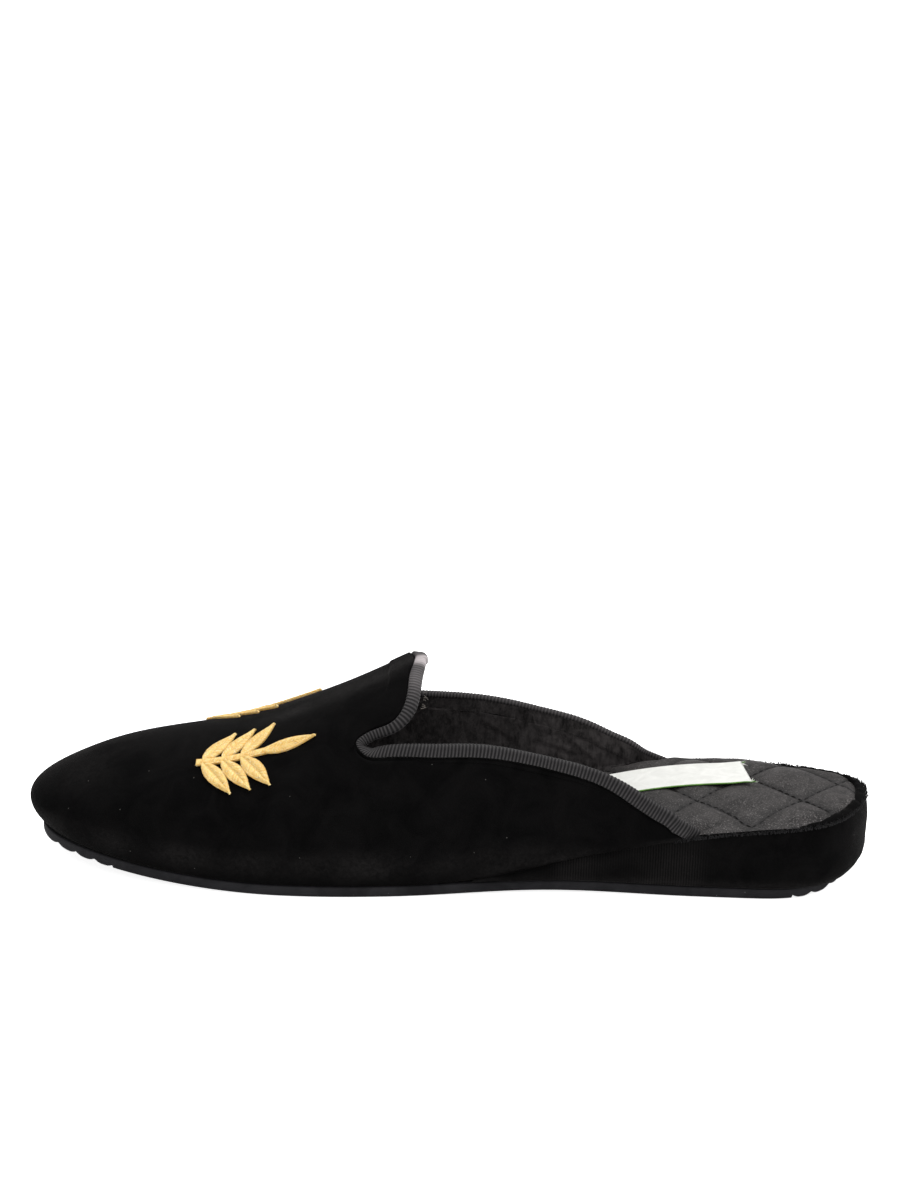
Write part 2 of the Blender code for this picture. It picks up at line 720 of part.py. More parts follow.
def build_sprig(name, side, scene_collection, material):
    """Leaves and stem joined flat, then laid on the upper's own surface."""
    pieces = [
        flat_prism(f"{name}_leaf_{i}", points, EMBROIDERY_HEIGHT)
        for i, points in enumerate(sprig_outlines())
    ]
    for piece in pieces:
        scene_collection.objects.link(piece)
    whole = pieces[0]
    for leaf in pieces[1:]:
        join = whole.modifiers.new(leaf.name, "BOOLEAN")
        join.operation = "UNION"
        join.solver = "EXACT"
        join.object = leaf
    bpy.context.view_layer.update()
    flat = bpy.data.meshes.new_from_object(
        whole.evaluated_get(bpy.context.evaluated_depsgraph_get())
    )
    for piece in pieces:
        bpy.data.objects.remove(piece)
    bm = bmesh.new()
    bm.from_mesh(flat)
    bpy.data.meshes.remove(flat)
    for axis, half in ((0, SPRIG_LENGTH / 2), (1, LEAF_LENGTH)):
        normal = tuple(1.0 if axis == i else 0.0 for i in range(3))
        for place in np.linspace(-half, half, SPRIG_CUTS + 2)[1:-1]:
            centre = tuple(float(place) if axis == i else 0.0 for i in range(3))
            geometry = bm.verts[:] + bm.edges[:] + bm.faces[:]
            bmesh.ops.bisect_plane(bm, geom=geometry, plane_co=centre, plane_no=normal, dist=1e-6)
    flat_points = np.array([vert.co[:] for vert in bm.verts])
    x = SPRIG_ALONG * LENGTH + flat_points[:, 0]
    aside = (SPRIG_MEDIAL if side < 0 else SPRIG_LATERAL) + flat_points[:, 1] * side
    for vert, point in zip(bm.verts, on_upper(x, aside, side, CLEARANCE + flat_points[:, 2])):
        vert.co = point
    bmesh.ops.triangulate(bm, faces=bm.faces)
    bmesh.ops.recalc_face_normals(bm, faces=bm.faces)
    mesh = bpy.data.meshes.new(name)
    bm.to_mesh(mesh)
    bm.free()
    mesh.materials.clear()
    mesh.materials.append(material)
    return bpy.data.objects.new(name, mesh)


def make_material(name, colour, roughness, sheen=0.0):
    material = bpy.data.materials.new(name)
    material.use_nodes = True
    shader = material.node_tree.nodes["Principled BSDF"]
    shader.inputs["Base Color"].default_value = (*colour, 1)
    shader.inputs["Roughness"].default_value = roughness
    shader.inputs["Metallic"].default_value = 0.0
    shader.inputs["Sheen Weight"].default_value = sheen
    return material


def centre_over_floor(root, objects):
    """Moves the root so that the shoe's box is centred on the origin and stands on the floor."""
    bpy.context.view_layer.update()
    graph = bpy.context.evaluated_depsgraph_get()
    low, high = np.full(3, np.inf), np.full(3, -np.inf)
    for obj in objects:
        mesh = obj.evaluated_get(graph).to_mesh()
        points = np.array([vert.co[:] for vert in mesh.vertices])
        low = np.minimum(low, points.min(axis=0))
        high = np.maximum(high, points.max(axis=0))
    middle = (low + high) / 2
    root.location = (-middle[0], -middle[1], -low[2])


def main():
    for obj in list(bpy.data.objects):
        bpy.data.objects.remove(obj)
    slipper = bpy.data.collections.new("Velvet slipper")
    bpy.context.scene.collection.children.link(slipper)
    root = bpy.data.objects.new("slipper_root", None)
    slipper.objects.link(root)

    velvet = make_material("Black velvet", (0.006, 0.006, 0.007), 0.9, 0.6)
    grosgrain = make_material("Black grosgrain", (0.03, 0.028, 0.03), 0.7)
    satin = make_material("Black quilted satin", (0.022, 0.019, 0.019), 0.45)
    rubber = make_material("Black rubber", (0.016, 0.016, 0.018), 0.6)
    gold = make_material("Gold thread", (0.72, 0.46, 0.13), 0.4)
    white = make_material("White woven tape", (0.86, 0.87, 0.84), 0.7)

    objects = [
        build_outsole(rubber),
        build_wedge(velvet),
        build_sock(satin),
        build_upper(velvet),
        build_binding(grosgrain),
        build_tape(white),
        build_sprig("sprig_medial", -1, slipper, gold),
        build_sprig("sprig_lateral", 1, slipper, gold),
    ]
    for obj in objects:
        slipper.objects.link(obj)
        obj.parent = root
    centre_over_floor(root, objects)


main()
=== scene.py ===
import math

import bmesh
import bpy
import numpy as np
from mathutils import Matrix, Vector


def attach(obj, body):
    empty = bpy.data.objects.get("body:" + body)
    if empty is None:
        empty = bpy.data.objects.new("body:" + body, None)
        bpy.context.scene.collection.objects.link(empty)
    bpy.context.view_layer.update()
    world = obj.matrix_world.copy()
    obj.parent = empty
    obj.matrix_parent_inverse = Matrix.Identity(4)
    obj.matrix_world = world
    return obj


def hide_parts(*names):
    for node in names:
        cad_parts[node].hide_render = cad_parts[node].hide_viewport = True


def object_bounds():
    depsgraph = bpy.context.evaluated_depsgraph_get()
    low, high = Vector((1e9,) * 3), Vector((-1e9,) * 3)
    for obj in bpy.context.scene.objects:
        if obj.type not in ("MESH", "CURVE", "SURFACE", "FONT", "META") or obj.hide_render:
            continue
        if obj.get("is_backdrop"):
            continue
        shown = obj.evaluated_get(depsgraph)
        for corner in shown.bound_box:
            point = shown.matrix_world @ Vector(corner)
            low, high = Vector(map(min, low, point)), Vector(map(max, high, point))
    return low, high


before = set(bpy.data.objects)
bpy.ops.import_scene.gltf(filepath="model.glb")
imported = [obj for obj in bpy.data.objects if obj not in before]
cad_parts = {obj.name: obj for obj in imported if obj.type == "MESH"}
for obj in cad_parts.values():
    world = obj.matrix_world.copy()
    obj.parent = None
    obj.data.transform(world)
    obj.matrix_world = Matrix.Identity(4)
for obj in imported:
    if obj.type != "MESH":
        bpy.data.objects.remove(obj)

CAD_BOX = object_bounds()

MM = 0.001

# The shoe's own measure runs from the toe backwards. This is where it lies in the frame.
SHOE_AT = np.array([-0.125941, -0.000837, 0.0])

# Sizes of the shoe
LENGTH = 252 * MM
BALL_WIDTH = 84 * MM
INSTEP_HEIGHT = 64 * MM
GIRTH_HEIGHT = 18 * MM
CLEARANCE = 0.3 * MM
SOLE_THICKNESS = 3.2 * MM
TOE_INSET = 4.0 * MM
HEEL_INSET = 6.0 * MM
SIDE_INSET = 3.1 * MM
TOE_SPRING = 7.6 * MM
ARCH_LIFT = 0.9 * MM
HEEL_LIFT = 2.6 * MM
TREAD_PITCH = 5.8 * MM
TREAD_DEPTH = 0.9 * MM
TOE_TREADS = 4
HEEL_TREADS = 3
WEDGE_HEIGHT = 19.2 * MM
WRAP_INSET = 1.3 * MM
WALL = 2.0 * MM
TUCK = 4.3 * MM
FAN = 28 * MM
BINDING_WIDTH = 4.5 * MM
SOCK_EDGE = 0.8 * MM
SOCK_PAD = 3.4 * MM
BALL_FLAT = (0.31, 0.43)
HEEL_FLAT = (0.79, 0.87)
FAN_END = 0.36
HEEL_FAN = 30 * MM
HEEL_FAN_START = 0.80
WEDGE_FRONT = 0.53
SOCK_STEP = 0.022
LOWEST_CLIMB = -0.12
MARGIN_DROP = 2.0 * MM

# Gold sprigs
SPRIG_LENGTH = 35 * MM
STEM_WIDTH = 2.4 * MM
LEAF_LENGTH = 16 * MM
LEAF_WIDTH = 4.9 * MM
LEAF_PAIRS = 3
LEAF_ANGLE = math.radians(55)
SPRIG_ALONG = 0.272
SPRIG_MEDIAL = 19.5 * MM
SPRIG_LATERAL = 24.5 * MM
EMBROIDERY_HEIGHT = 0.7 * MM

# Woven tape on the sock
TAPE_LENGTH = 50 * MM
TAPE_WIDTH = 17 * MM
TAPE_TURN = math.radians(-2.7)
TAPE_ALONG = 0.757
TAPE_ASIDE = 11.6 * MM

# Quilting of the sock: two families of lines, each square to a direction in the frame. The lines'
# distances along that direction are in mm.
QUILT_WAYS = (np.array([0.800, 0.600]), np.array([0.724, -0.690]))
QUILT_LINES = (
    np.array([-129, -106, -83, -60, -37, -14, 9, 32, 55.3, 78, 95, 117, 140]) * MM,
    np.array([-115, -90, -65, -40, -15.5, 9.2, 33.9, 58.6, 83.4, 108, 133]) * MM,
)
QUILT_PUFF = 1.8 * MM
STITCH = 2.3 * MM
STITCH_GAP = 0.7 * MM

RIB_PITCH = 1.034 * MM
RIB_DEPTH = 0.15 * MM

# Width of one comb mark in the wedge's pile, and the grain of ribbon and thread per metre
COMB_PITCH = 0.78 * MM
RIBBON_GRAIN = 5200.0
THREAD_GRAIN = 3500.0

OUTLINE = (
    # along, medial, lateral
    (0.000, -0.060, -0.060),
    (0.020, -0.226, 0.107),
    (0.070, -0.339, 0.232),
    (0.150, -0.429, 0.363),
    (0.250, -0.482, 0.458),
    (0.360, -0.488, 0.506),
    (0.500, -0.429, 0.500),
    (0.620, -0.369, 0.458),
    (0.750, -0.351, 0.405),
    (0.870, -0.353, 0.372),
    (0.950, -0.308, 0.245),
    (1.000, 0.006, 0.006),
)
RIDGE = (
    # along, height, sideways
    (0.000, 0.444, -0.060),
    (0.050, 0.481, -0.055),
    (0.100, 0.528, -0.050),
    (0.170, 0.575, -0.045),
    (0.240, 0.614, -0.042),
    (0.300, 0.689, -0.040),
    (0.360, 0.794, -0.040),
    (0.420, 0.914, -0.038),
    (0.460, 0.998, -0.035),
    (0.540, 1.085, -0.020),
    (0.700, 1.120, 0.000),
    (1.000, 1.120, 0.006),
)
WALLS = (
    # along, girth, tuck, wedge medial, wedge lateral
    (0.000, 1.00, 1.00, 0.00, 0.00),
    (0.080, 0.93, 0.88, 0.00, 0.00),
    (0.200, 0.82, 0.81, 0.00, 0.00),
    (0.360, 0.78, 0.81, 0.00, 0.00),
    (0.460, 0.80, 0.79, 0.00, 0.00),
    (0.530, 0.83, 0.65, 0.05, 0.06),
    (0.590, 0.87, 0.50, 0.17, 0.21),
    (0.640, 0.92, 0.42, 0.33, 0.39),
    (0.690, 1.02, 0.34, 0.50, 0.60),
    (0.750, 1.13, 0.30, 0.69, 0.85),
    (0.800, 1.22, 0.30, 0.82, 0.94),
    (0.850, 1.28, 0.30, 0.91, 0.98),
    (0.900, 1.30, 0.30, 0.97, 1.01),
    (1.000, 1.30, 0.30, 1.02, 1.02),
)
COLLAR = (
    # place, medial along, medial climb, lateral along, lateral climb
    ("tongue top", 0.452, 1.000, 0.452, 1.000),
    ("", 0.447, 0.860, 0.447, 0.860),
    ("tongue corner", 0.442, 0.665, 0.442, 0.655),
    ("", 0.430, 0.602, 0.430, 0.585),
    ("", 0.408, 0.599, 0.408, 0.570),
    ("notch", 0.387, 0.555, 0.387, 0.500),
    ("", 0.397, 0.467, 0.397, 0.400),
    ("", 0.425, 0.412, 0.425, 0.335),
    ("", 0.475, 0.358, 0.475, 0.272),
    ("", 0.533, 0.325, 0.533, 0.237),
    ("", 0.604, 0.267, 0.604, 0.184),
    ("", 0.678, 0.183, 0.666, 0.120),
    ("", 0.743, 0.045, 0.704, 0.056),
    ("", 0.764, -0.024, 0.727, -0.003),
    ("quarter end", 0.775, -0.115, 0.7415, -0.115),
)
WEDGE_WALL = (
    # height as a share of the wall, inset as a share of WRAP_INSET
    (0.00, 1.6),
    (0.08, 0.7),
    (0.30, 0.1),
    (0.60, 0.0),
    (0.86, 0.3),
    (1.00, 1.0),
)


class Spline:
    """Smooth curve through values at rising places, with natural ends, or closed over a period."""

    def __init__(self, places, values, period=None):
        self.places = np.array(places, float)
        self.values = np.array(values, float)
        self.period = period
        if period:
            self.places = np.append(self.places, self.places[0] + period)
            self.values = np.append(self.values, self.values[0])
        count = len(self.places)
        step = np.diff(self.places)
        rise = np.diff(self.values) / step
        system = np.zeros((count, count))
        right = np.zeros(count)
        for i in range(1, count - 1):
            system[i, i - 1 : i + 2] = step[i - 1], 2 * (step[i - 1] + step[i]), step[i]
            right[i] = 6 * (rise[i] - rise[i - 1])
        if period:
            system[0, 0], system[0, -1] = 1, -1
            system[-1, [0, 1]] = 2 * step[0], step[0]
            system[-1, [-2, -1]] = step[-1], 2 * step[-1]
            right[-1] = 6 * (rise[0] - rise[-1])
        else:
            system[0, 0] = system[-1, -1] = 1
        self.bend = np.linalg.solve(system, right)

    def __call__(self, at):
        at = np.asarray(at, float)
        first = self.places[0]
        if self.period:
            at = first + np.mod(at - first, self.period)
        at = np.clip(at, first, self.places[-1])
        i = np.clip(np.searchsorted(self.places, at) - 1, 0, len(self.places) - 2)
        step = self.places[i + 1] - self.places[i]
        before = (self.places[i + 1] - at) / step
        after = 1 - before
        bend = (before**3 - before) * self.bend[i] + (after**3 - after) * self.bend[i + 1]
        return before * self.values[i] + after * self.values[i + 1] + bend * step**2 / 6


def column(table, index):
    return [row[index] for row in table]


def turn_at(along):
    return np.arccos(np.clip(1 - 2 * np.asarray(along, float), -1, 1))


def along_at(turn):
    return (1 - np.cos(turn)) / 2


def outline_spline():
    turns = turn_at(column(OUTLINE, 0))
    medial = [(-t, m) for t, m in zip(turns[1:-1], column(OUTLINE, 1)[1:-1])]
    rows = sorted(medial + list(zip(turns, column(OUTLINE, 2))))
    return Spline(column(rows, 0), column(rows, 1), 2 * math.pi)


outline = outline_spline()
ridge_height = Spline(column(RIDGE, 0), column(RIDGE, 1))
ridge_aside = Spline(column(RIDGE, 0), column(RIDGE, 2))
girth = Spline(column(WALLS, 0), column(WALLS, 1))
tuck = Spline(column(WALLS, 0), column(WALLS, 2))
wedge_medial = Spline(column(WALLS, 0), column(WALLS, 3))
wedge_lateral = Spline(column(WALLS, 0), column(WALLS, 4))
wedge_inset = Spline(column(WEDGE_WALL, 0), column(WEDGE_WALL, 1))


def wedge_share(along, side):
    share = np.where(np.asarray(side) < 0, wedge_medial(along), wedge_lateral(along))
    return np.clip(share, 0, None)


def ground_rise(along):
    along = np.asarray(along, float)
    toe = TOE_SPRING * np.clip(1 - along / BALL_FLAT[0], 0, 1) ** 1.9
    arch_share = np.clip((along - BALL_FLAT[1]) / (HEEL_FLAT[0] - BALL_FLAT[1]), 0, 1)
    arch = ARCH_LIFT * np.sin(np.pi * arch_share) ** 2
    heel = HEEL_LIFT * np.clip((along - HEEL_FLAT[1]) / (1 - HEEL_FLAT[1]), 0, 1) ** 2
    return toe + arch + heel


def sole_top(x):
    return ground_rise(x / LENGTH) + SOLE_THICKNESS


def base_height(x, side):
    return sole_top(x) + WEDGE_HEIGHT * wedge_share(x / LENGTH, side)


def edge_line(turn, side):
    """The upper's outline at its lower edge, and the place on the ridge that its rib leads to."""
    along = along_at(turn)
    x = LENGTH * along
    y = BALL_WIDTH * outline(side * turn)
    ridge_x = x + FAN * np.clip(1 - along / FAN_END, 0, 1) ** 2
    ridge_y = BALL_WIDTH * ridge_aside(ridge_x / LENGTH)
    return x, y, ridge_x, ridge_y


def upper_point(turn, side, climb):
    """Point of the velvet's outer face for a turn of the outline and a climb up its rib."""
    turn, climb = np.broadcast_arrays(np.asarray(turn, float), np.asarray(climb, float))
    x, y, ridge_x, ridge_y = edge_line(turn, side)
    along = x / LENGTH
    reach = np.hypot(x - ridge_x, y - ridge_y)
    low = np.arccos(np.clip(1 - TUCK * tuck(along) / reach, -1, 1))
    angle = np.where(climb < 0, climb / -LOWEST_CLIMB * low, climb * math.pi / 2)
    share = np.clip(np.cos(angle), 0, 1) ** np.where(climb < 0, 1.0, 0.92)
    px = ridge_x + (x - ridge_x) * share
    py = ridge_y + (y - ridge_y) * share
    widest = GIRTH_HEIGHT * girth(along)
    lowest = base_height(x, side) + CLEARANCE
    top = INSTEP_HEIGHT * ridge_height(px / LENGTH)
    above = widest + (top - widest) * np.sin(np.maximum(angle, 0))
    below = widest - (widest - lowest) * np.sin(np.maximum(-angle, 0)) / np.sin(low)
    return np.stack([px, py, np.where(climb < 0, below, above)], axis=-1)


def upper_normal(turn, side, climb):
    step = 1e-3
    climb = np.clip(climb, LOWEST_CLIMB + step, 1 - step)
    across = upper_point(turn, side, climb + step) - upper_point(turn, side, climb - step)
    forward = upper_point(turn + step, side, climb) - upper_point(turn - step, side, climb)
    return unit(np.cross(forward, across) * -side)


def collar_curve(side):
    """The velvet's cut edge as turn and climb over 0 at the tongue's top to 1 at the wedge."""
    first = 1 if side < 0 else 3
    turns = turn_at(column(COLLAR, first))
    climbs = np.array(column(COLLAR, first + 1))
    points = upper_point(turns, side, climbs)
    steps = np.linalg.norm(np.diff(points, axis=0), axis=1)
    places = np.concatenate([[-steps[0]], [0], np.cumsum(steps)])
    total = places[-1]
    turn_line = Spline(places / total, np.concatenate([[turns[1]], turns]))
    climb_line = Spline(places / total, np.concatenate([[2 - climbs[1]], climbs]))
    return turn_line, climb_line, places[1:] / total


def inner_line(turn, side, inset):
    """The outline moved inwards by an inset, along lines that fan out round the heel."""
    x, y, toward_x, toward_y = edge_line(turn, side)
    heel = np.clip((x / LENGTH - HEEL_FAN_START) / (1 - HEEL_FAN_START), 0, 1) ** 2
    toward_x = toward_x - HEEL_FAN * heel
    share = 1 - inset / np.hypot(x - toward_x, y - toward_y)
    return toward_x + (x - toward_x) * share, toward_y + (y - toward_y) * share


def unit(vectors):
    return vectors / np.maximum(np.linalg.norm(vectors, axis=-1, keepdims=True), 1e-12)


def ripple(points, size, seed, waves=14):
    """Soft, even unevenness of about plus and minus one, the same each run."""
    rng = np.random.default_rng(seed)
    directions = rng.normal(size=(waves, 3)) / size
    phases = rng.uniform(0, 2 * math.pi, waves)
    return np.sin(points @ directions.T + phases).sum(axis=-1) / math.sqrt(waves / 2)


def smooth_step(value, start, end):
    share = np.clip((value - start) / (end - start), 0, 1)
    return share * share * (3 - 2 * share)


def past(points, start, end):
    """How far points along the shoe are from a start to an end, both in mm, as a smooth share."""
    return smooth_step(points[..., 0], start * MM, end * MM)


def bell(value, width):
    return np.exp(-((value / width) ** 2))


# Meshes


def grid_faces(rows, columns, start=0, closed=False):
    index = start + np.arange(rows * columns).reshape(rows, columns)
    if closed:
        index = np.concatenate([index, index[:, :1]], axis=1)
    corners = index[:-1, :-1], index[1:, :-1], index[1:, 1:], index[:-1, 1:]
    return np.stack(corners, axis=-1).reshape(-1, 4)


def capped(loops, flipped=False):
    """Closed loops in a row as one solid: its points, and its faces with both ends capped."""
    rows, count = loops.shape[:2]
    faces = grid_faces(rows, count, closed=True)
    first, last = list(range(count)), list(range((rows - 1) * count, rows * count))
    if flipped:
        return loops.reshape(-1, 3), faces[:, ::-1].tolist() + [first, last[::-1]]
    return loops.reshape(-1, 3), faces.tolist() + [first[::-1], last]


def make_piece(name, points, faces, materials, which=None, measures=None, slot=None, node=None):
    """A smooth mesh piece that rides with the shoe. Points are in the shoe's own measure."""
    mesh = bpy.data.meshes.new(name)
    mesh.from_pydata((points + SHOE_AT).tolist(), [], [tuple(face) for face in faces])
    for key, values in (measures or {}).items():
        mesh.attributes.new(key, "FLOAT", "POINT").data.foreach_set("value", values.astype(np.float32))
    for material in materials:
        mesh.materials.append(material)
    if which is not None:
        mesh.polygons.foreach_set("material_index", np.asarray(which, np.int32))
    mesh.validate()
    mesh.shade_smooth()
    piece = bpy.data.objects.new(name, mesh)
    bpy.context.scene.collection.objects.link(piece)
    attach(piece, "root")
    if node:
        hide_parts(node)
    return piece


def weld(points, faces):
    """Joins points at one place. Returns the first index of each kept point and the new faces."""
    _, kept, new_index = np.unique(
        (points / 2e-6).round().astype(np.int64), axis=0, return_index=True, return_inverse=True
    )
    faces = new_index.ravel()[faces]
    distinct = [len(set(face)) for face in faces.tolist()]
    return kept, faces[np.array(distinct) > 2]


def drop_doubles(faces):
    """Faces as tuples, with a corner that comes twice left out."""
    return [tuple(dict.fromkeys(face)) for face in faces.tolist()]


def thick_shell(outer, inner, faces):
    """A sheet's outer faces, its inner ones and the strips that close its open edges."""
    count = len(outer)
    edges = np.concatenate([faces[:, [i, (i + 1) % 4]] for i in range(4)])
    edges = edges[edges[:, 0] != edges[:, 1]]
    _, first, uses = np.unique(np.sort(edges, axis=1), axis=0, return_index=True, return_counts=True)
    rim = edges[first[uses == 1]]
    strips = np.stack([rim[:, 1], rim[:, 0], rim[:, 0] + count, rim[:, 1] + count], axis=1)
    return np.concatenate([outer, inner]), faces, faces[:, ::-1] + count, strips


def tubes(paths, radii, sides=6):
    """Round threads along many paths of equally many points: paths is threads by points by 3."""
    paths = np.asarray(paths, float)
    count, steps = paths.shape[:2]
    radii = np.broadcast_to(np.asarray(radii, float), (count, steps))
    tangents = unit(np.gradient(paths, axis=1))
    helper = np.where(np.abs(tangents[..., 2:]) < 0.9, [0.0, 0.0, 1.0], [1.0, 0.0, 0.0])
    first = unit(np.cross(tangents, helper))
    second = np.cross(tangents, first)
    angles = np.arange(sides) * 2 * math.pi / sides
    ring = first[:, :, None] * np.cos(angles)[:, None] + second[:, :, None] * np.sin(angles)[:, None]
    points = paths[:, :, None] + ring * radii[:, :, None, None]
    block = grid_faces(steps, sides, closed=True)
    each = steps * sides
    faces = (block[None] + (np.arange(count) * each)[:, None, None]).reshape(-1, 4).tolist()
    for i in range(count):
        faces.append(list(range(i * each, i * each + sides))[::-1])
        faces.append(list(range((i + 1) * each - sides, (i + 1) * each)))
    return points.reshape(-1, 3), faces


# Materials


def add_node(tree, kind, inputs=None, **settings):
    node = tree.nodes.new(kind)
    for key, value in settings.items():
        setattr(node, key, value)
    for key, value in (inputs or {}).items():
        if isinstance(value, bpy.types.NodeSocket):
            tree.links.new(value, node.inputs[key])
        else:
            node.inputs[key].default_value = value
    return node


def math_node(tree, operation, first, second=0.0, clamp=False):
    settings = {"operation": operation, "use_clamp": clamp}
    return add_node(tree, "ShaderNodeMath", {0: first, 1: second}, **settings).outputs[0]


def plus(tree, first, second, clamp=False):
    return math_node(tree, "ADD", first, second, clamp)


def times(tree, first, second):
    return math_node(tree, "MULTIPLY", first, second)


def mix_colours(tree, share, first, second):
    first, second = (
        value if isinstance(value, bpy.types.NodeSocket) else (*value, 1) for value in (first, second)
    )
    inputs = {0: share, 6: first, 7: second}
    return add_node(tree, "ShaderNodeMix", inputs, data_type="RGBA").outputs[2]


def ramp(tree, value, start, end, low=0.0, high=1.0):
    inputs = {0: value, 1: start, 2: end, 3: low, 4: high}
    return add_node(tree, "ShaderNodeMapRange", inputs).outputs[0]


def noise(tree, place, scale, detail, roughness=0.5, distortion=0.0):
    inputs = {"Vector": place, "Scale": scale, "Detail": detail, "Roughness": roughness}
    return add_node(tree, "ShaderNodeTexNoise", {**inputs, "Distortion": distortion}).outputs


def new_group(name, sizes, results):
    """A shader group that takes a place and named sizes and gives masks, tones or heights."""
    group = bpy.data.node_groups.new(name, "ShaderNodeTree")
    group.interface.new_socket("Vector", in_out="INPUT", socket_type="NodeSocketVector")
    for key, value in sizes.items():
        socket = group.interface.new_socket(key, in_out="INPUT", socket_type="NodeSocketFloat")
        socket.default_value = value
    for result in results:
        group.interface.new_socket(result, in_out="OUTPUT", socket_type="NodeSocketFloat")
    given = group.nodes.new("NodeGroupInput").outputs
    return group, given, group.nodes.new("NodeGroupOutput").inputs


def scale_for(group, size):
    return math_node(group, "DIVIDE", 1.0, size)


def make_lint_group():
    """Dust and lint: small pale specks and short hairs strewn over the cloth."""
    group, given, out = new_group("lint", {"Spacing": 4.0 * MM, "Share": 0.06}, ["Mask"])
    bent = noise(group, given["Vector"], LINT_BEND_SCALE, 1.0)["Color"]
    moved = add_node(
        group, "ShaderNodeVectorMath", {0: bent, 1: (LINT_BEND,) * 3}, operation="MULTIPLY"
    ).outputs[0]
    place = add_node(
        group, "ShaderNodeVectorMath", {0: given["Vector"], 1: moved}, operation="ADD"
    ).outputs[0]
    inputs = {"Vector": place, "Scale": scale_for(group, given["Spacing"])}
    cells = add_node(group, "ShaderNodeTexVoronoi", inputs, feature="F1").outputs["Distance"]
    group.links.new(math_node(group, "LESS_THAN", cells, given["Share"]), out["Mask"])
    return group


def make_nap_group():
    """Pile that lies this way and that: patches that catch the light, and the fibres' fine grain."""
    sizes = {"Patch": 9.0 * MM, "Fibre": 0.28 * MM}
    group, given, out = new_group("nap", sizes, ["Patches", "Height"])
    place = given["Vector"]
    patches = noise(group, place, scale_for(group, given["Patch"]), 4.0, 0.6, 0.8)["Fac"]
    fibres = noise(group, place, scale_for(group, given["Fibre"]), 3.0, 0.7)["Fac"]
    group.links.new(ramp(group, patches, *PATCH_RANGE), out["Patches"])
    group.links.new(plus(group, times(group, patches, PATCH_HEIGHT), fibres), out["Height"])
    return group


def make_weave_group():
    """Fine plain weave over and under, as a height."""
    group, given, out = new_group("weave", {"Thread": 0.3 * MM}, ["Height"])
    scale = math_node(group, "DIVIDE", math.pi, given["Thread"])
    parts = add_node(group, "ShaderNodeSeparateXYZ", {0: given["Vector"]}).outputs
    warp, weft = (math_node(group, "SINE", times(group, parts[key], scale)) for key in "XY")
    group.links.new(times(group, warp, weft), out["Height"])
    return group


def make_glint_group():
    """Fine filaments that happen to face the light: a grain of scattered bright points."""
    group, given, out = new_group("glint", {"Size": 0.3 * MM, "Share": 0.5}, ["Mask"])
    grain = noise(group, given["Vector"], scale_for(group, given["Size"]), 2.0, 0.75)["Fac"]
    least = math_node(group, "SUBTRACT", GLINT_LEAST, times(group, given["Share"], GLINT_SHIFT))
    most = plus(group, least, GLINT_RANGE)
    group.links.new(ramp(group, grain, least, most), out["Mask"])
    return group


# Lint: how the specks are bent into hairs. Nap: noise from dark to light, and the patches' height.
# Glint: where the noise begins to shine, how a larger share moves it, and the way to full shine.
LINT_BEND_SCALE, LINT_BEND = 900.0, 0.6 * MM
PATCH_RANGE, PATCH_HEIGHT = (0.36, 0.66), 1.2
GLINT_LEAST, GLINT_SHIFT, GLINT_RANGE = 0.68, 0.3, 0.14
LINT, NAP, WEAVE, GLINT = make_lint_group(), make_nap_group(), make_weave_group(), make_glint_group()


def use_group(tree, group, place, **sizes):
    return add_node(tree, "ShaderNodeGroup", {"Vector": place, **sizes}, node_tree=group).outputs


def start_material(name, specular, sheen=0.0, sheen_roughness=0.5, sheen_tint=(1.0, 1.0, 1.0)):
    material = bpy.data.materials.new(name)
    material.use_nodes = True
    shader = material.node_tree.nodes["Principled BSDF"]
    for key, value in (
        ("Specular IOR Level", specular), ("Sheen Weight", sheen),
        ("Sheen Roughness", sheen_roughness), ("Sheen Tint", (*sheen_tint, 1)),
    ):
        shader.inputs[key].default_value = value
    place = add_node(material.node_tree, "ShaderNodeTexCoord").outputs["Object"]
    return material, material.node_tree, place


def finish_material(material, colour, tone, roughness, height, strength, depth):
    """Links the colour, the roughness that goes with a tone between two values, and the bump."""
    tree = material.node_tree
    inputs = tree.nodes["Principled BSDF"].inputs
    tree.links.new(colour, inputs["Base Color"])
    tree.links.new(ramp(tree, tone, 0.0, 1.0, *roughness), inputs["Roughness"])
    bump = {"Height": height, "Strength": strength, "Distance": depth}
    tree.links.new(add_node(tree, "ShaderNodeBump", bump).outputs[0], inputs["Normal"])
    return material


def measure(tree, name):
    return add_node(tree, "ShaderNodeAttribute", attribute_name=name).outputs["Fac"]


def velvet_material():
    material, tree, place = start_material("Black velvet", 0.04, 0.05, 0.25, (0.82, 0.78, 0.77))
    nap = use_group(tree, NAP, place, Patch=11 * MM, Fibre=0.3 * MM)
    fine = use_group(tree, NAP, place, Patch=1.4 * MM, Fibre=0.2 * MM)["Patches"]
    # Painted sheen and floor light: the mesh's measure of painted light lightens the velvet's colour
    # where light grazes it or comes up from the floor.
    painted_light = times(tree, measure(tree, "painted_light"), plus(tree, fine, 0.45))
    across = add_node(tree, "ShaderNodeSeparateXYZ", {0: place}).outputs["X"]
    phase = plus(tree, times(tree, across, 2 * math.pi / COMB_PITCH), fine)
    comb = times(tree, math_node(tree, "SINE", phase), 0.5)
    combed = times(tree, measure(tree, "combed"), plus(tree, comb, 0.5))
    share = plus(tree, times(tree, nap["Patches"], 0.16), times(tree, painted_light, 0.75))
    share = plus(tree, share, times(tree, combed, 0.6), clamp=True)
    cloth = mix_colours(tree, share, (0.0022, 0.0021, 0.0022), (0.0160, 0.0148, 0.0146))
    lint = use_group(tree, LINT, place, Spacing=6 * MM, Share=0.03)["Mask"]
    cloth = mix_colours(tree, lint, cloth, (0.07, 0.067, 0.063))
    return finish_material(material, cloth, share, (0.96, 0.72), nap["Height"], 0.55, 0.25 * MM)


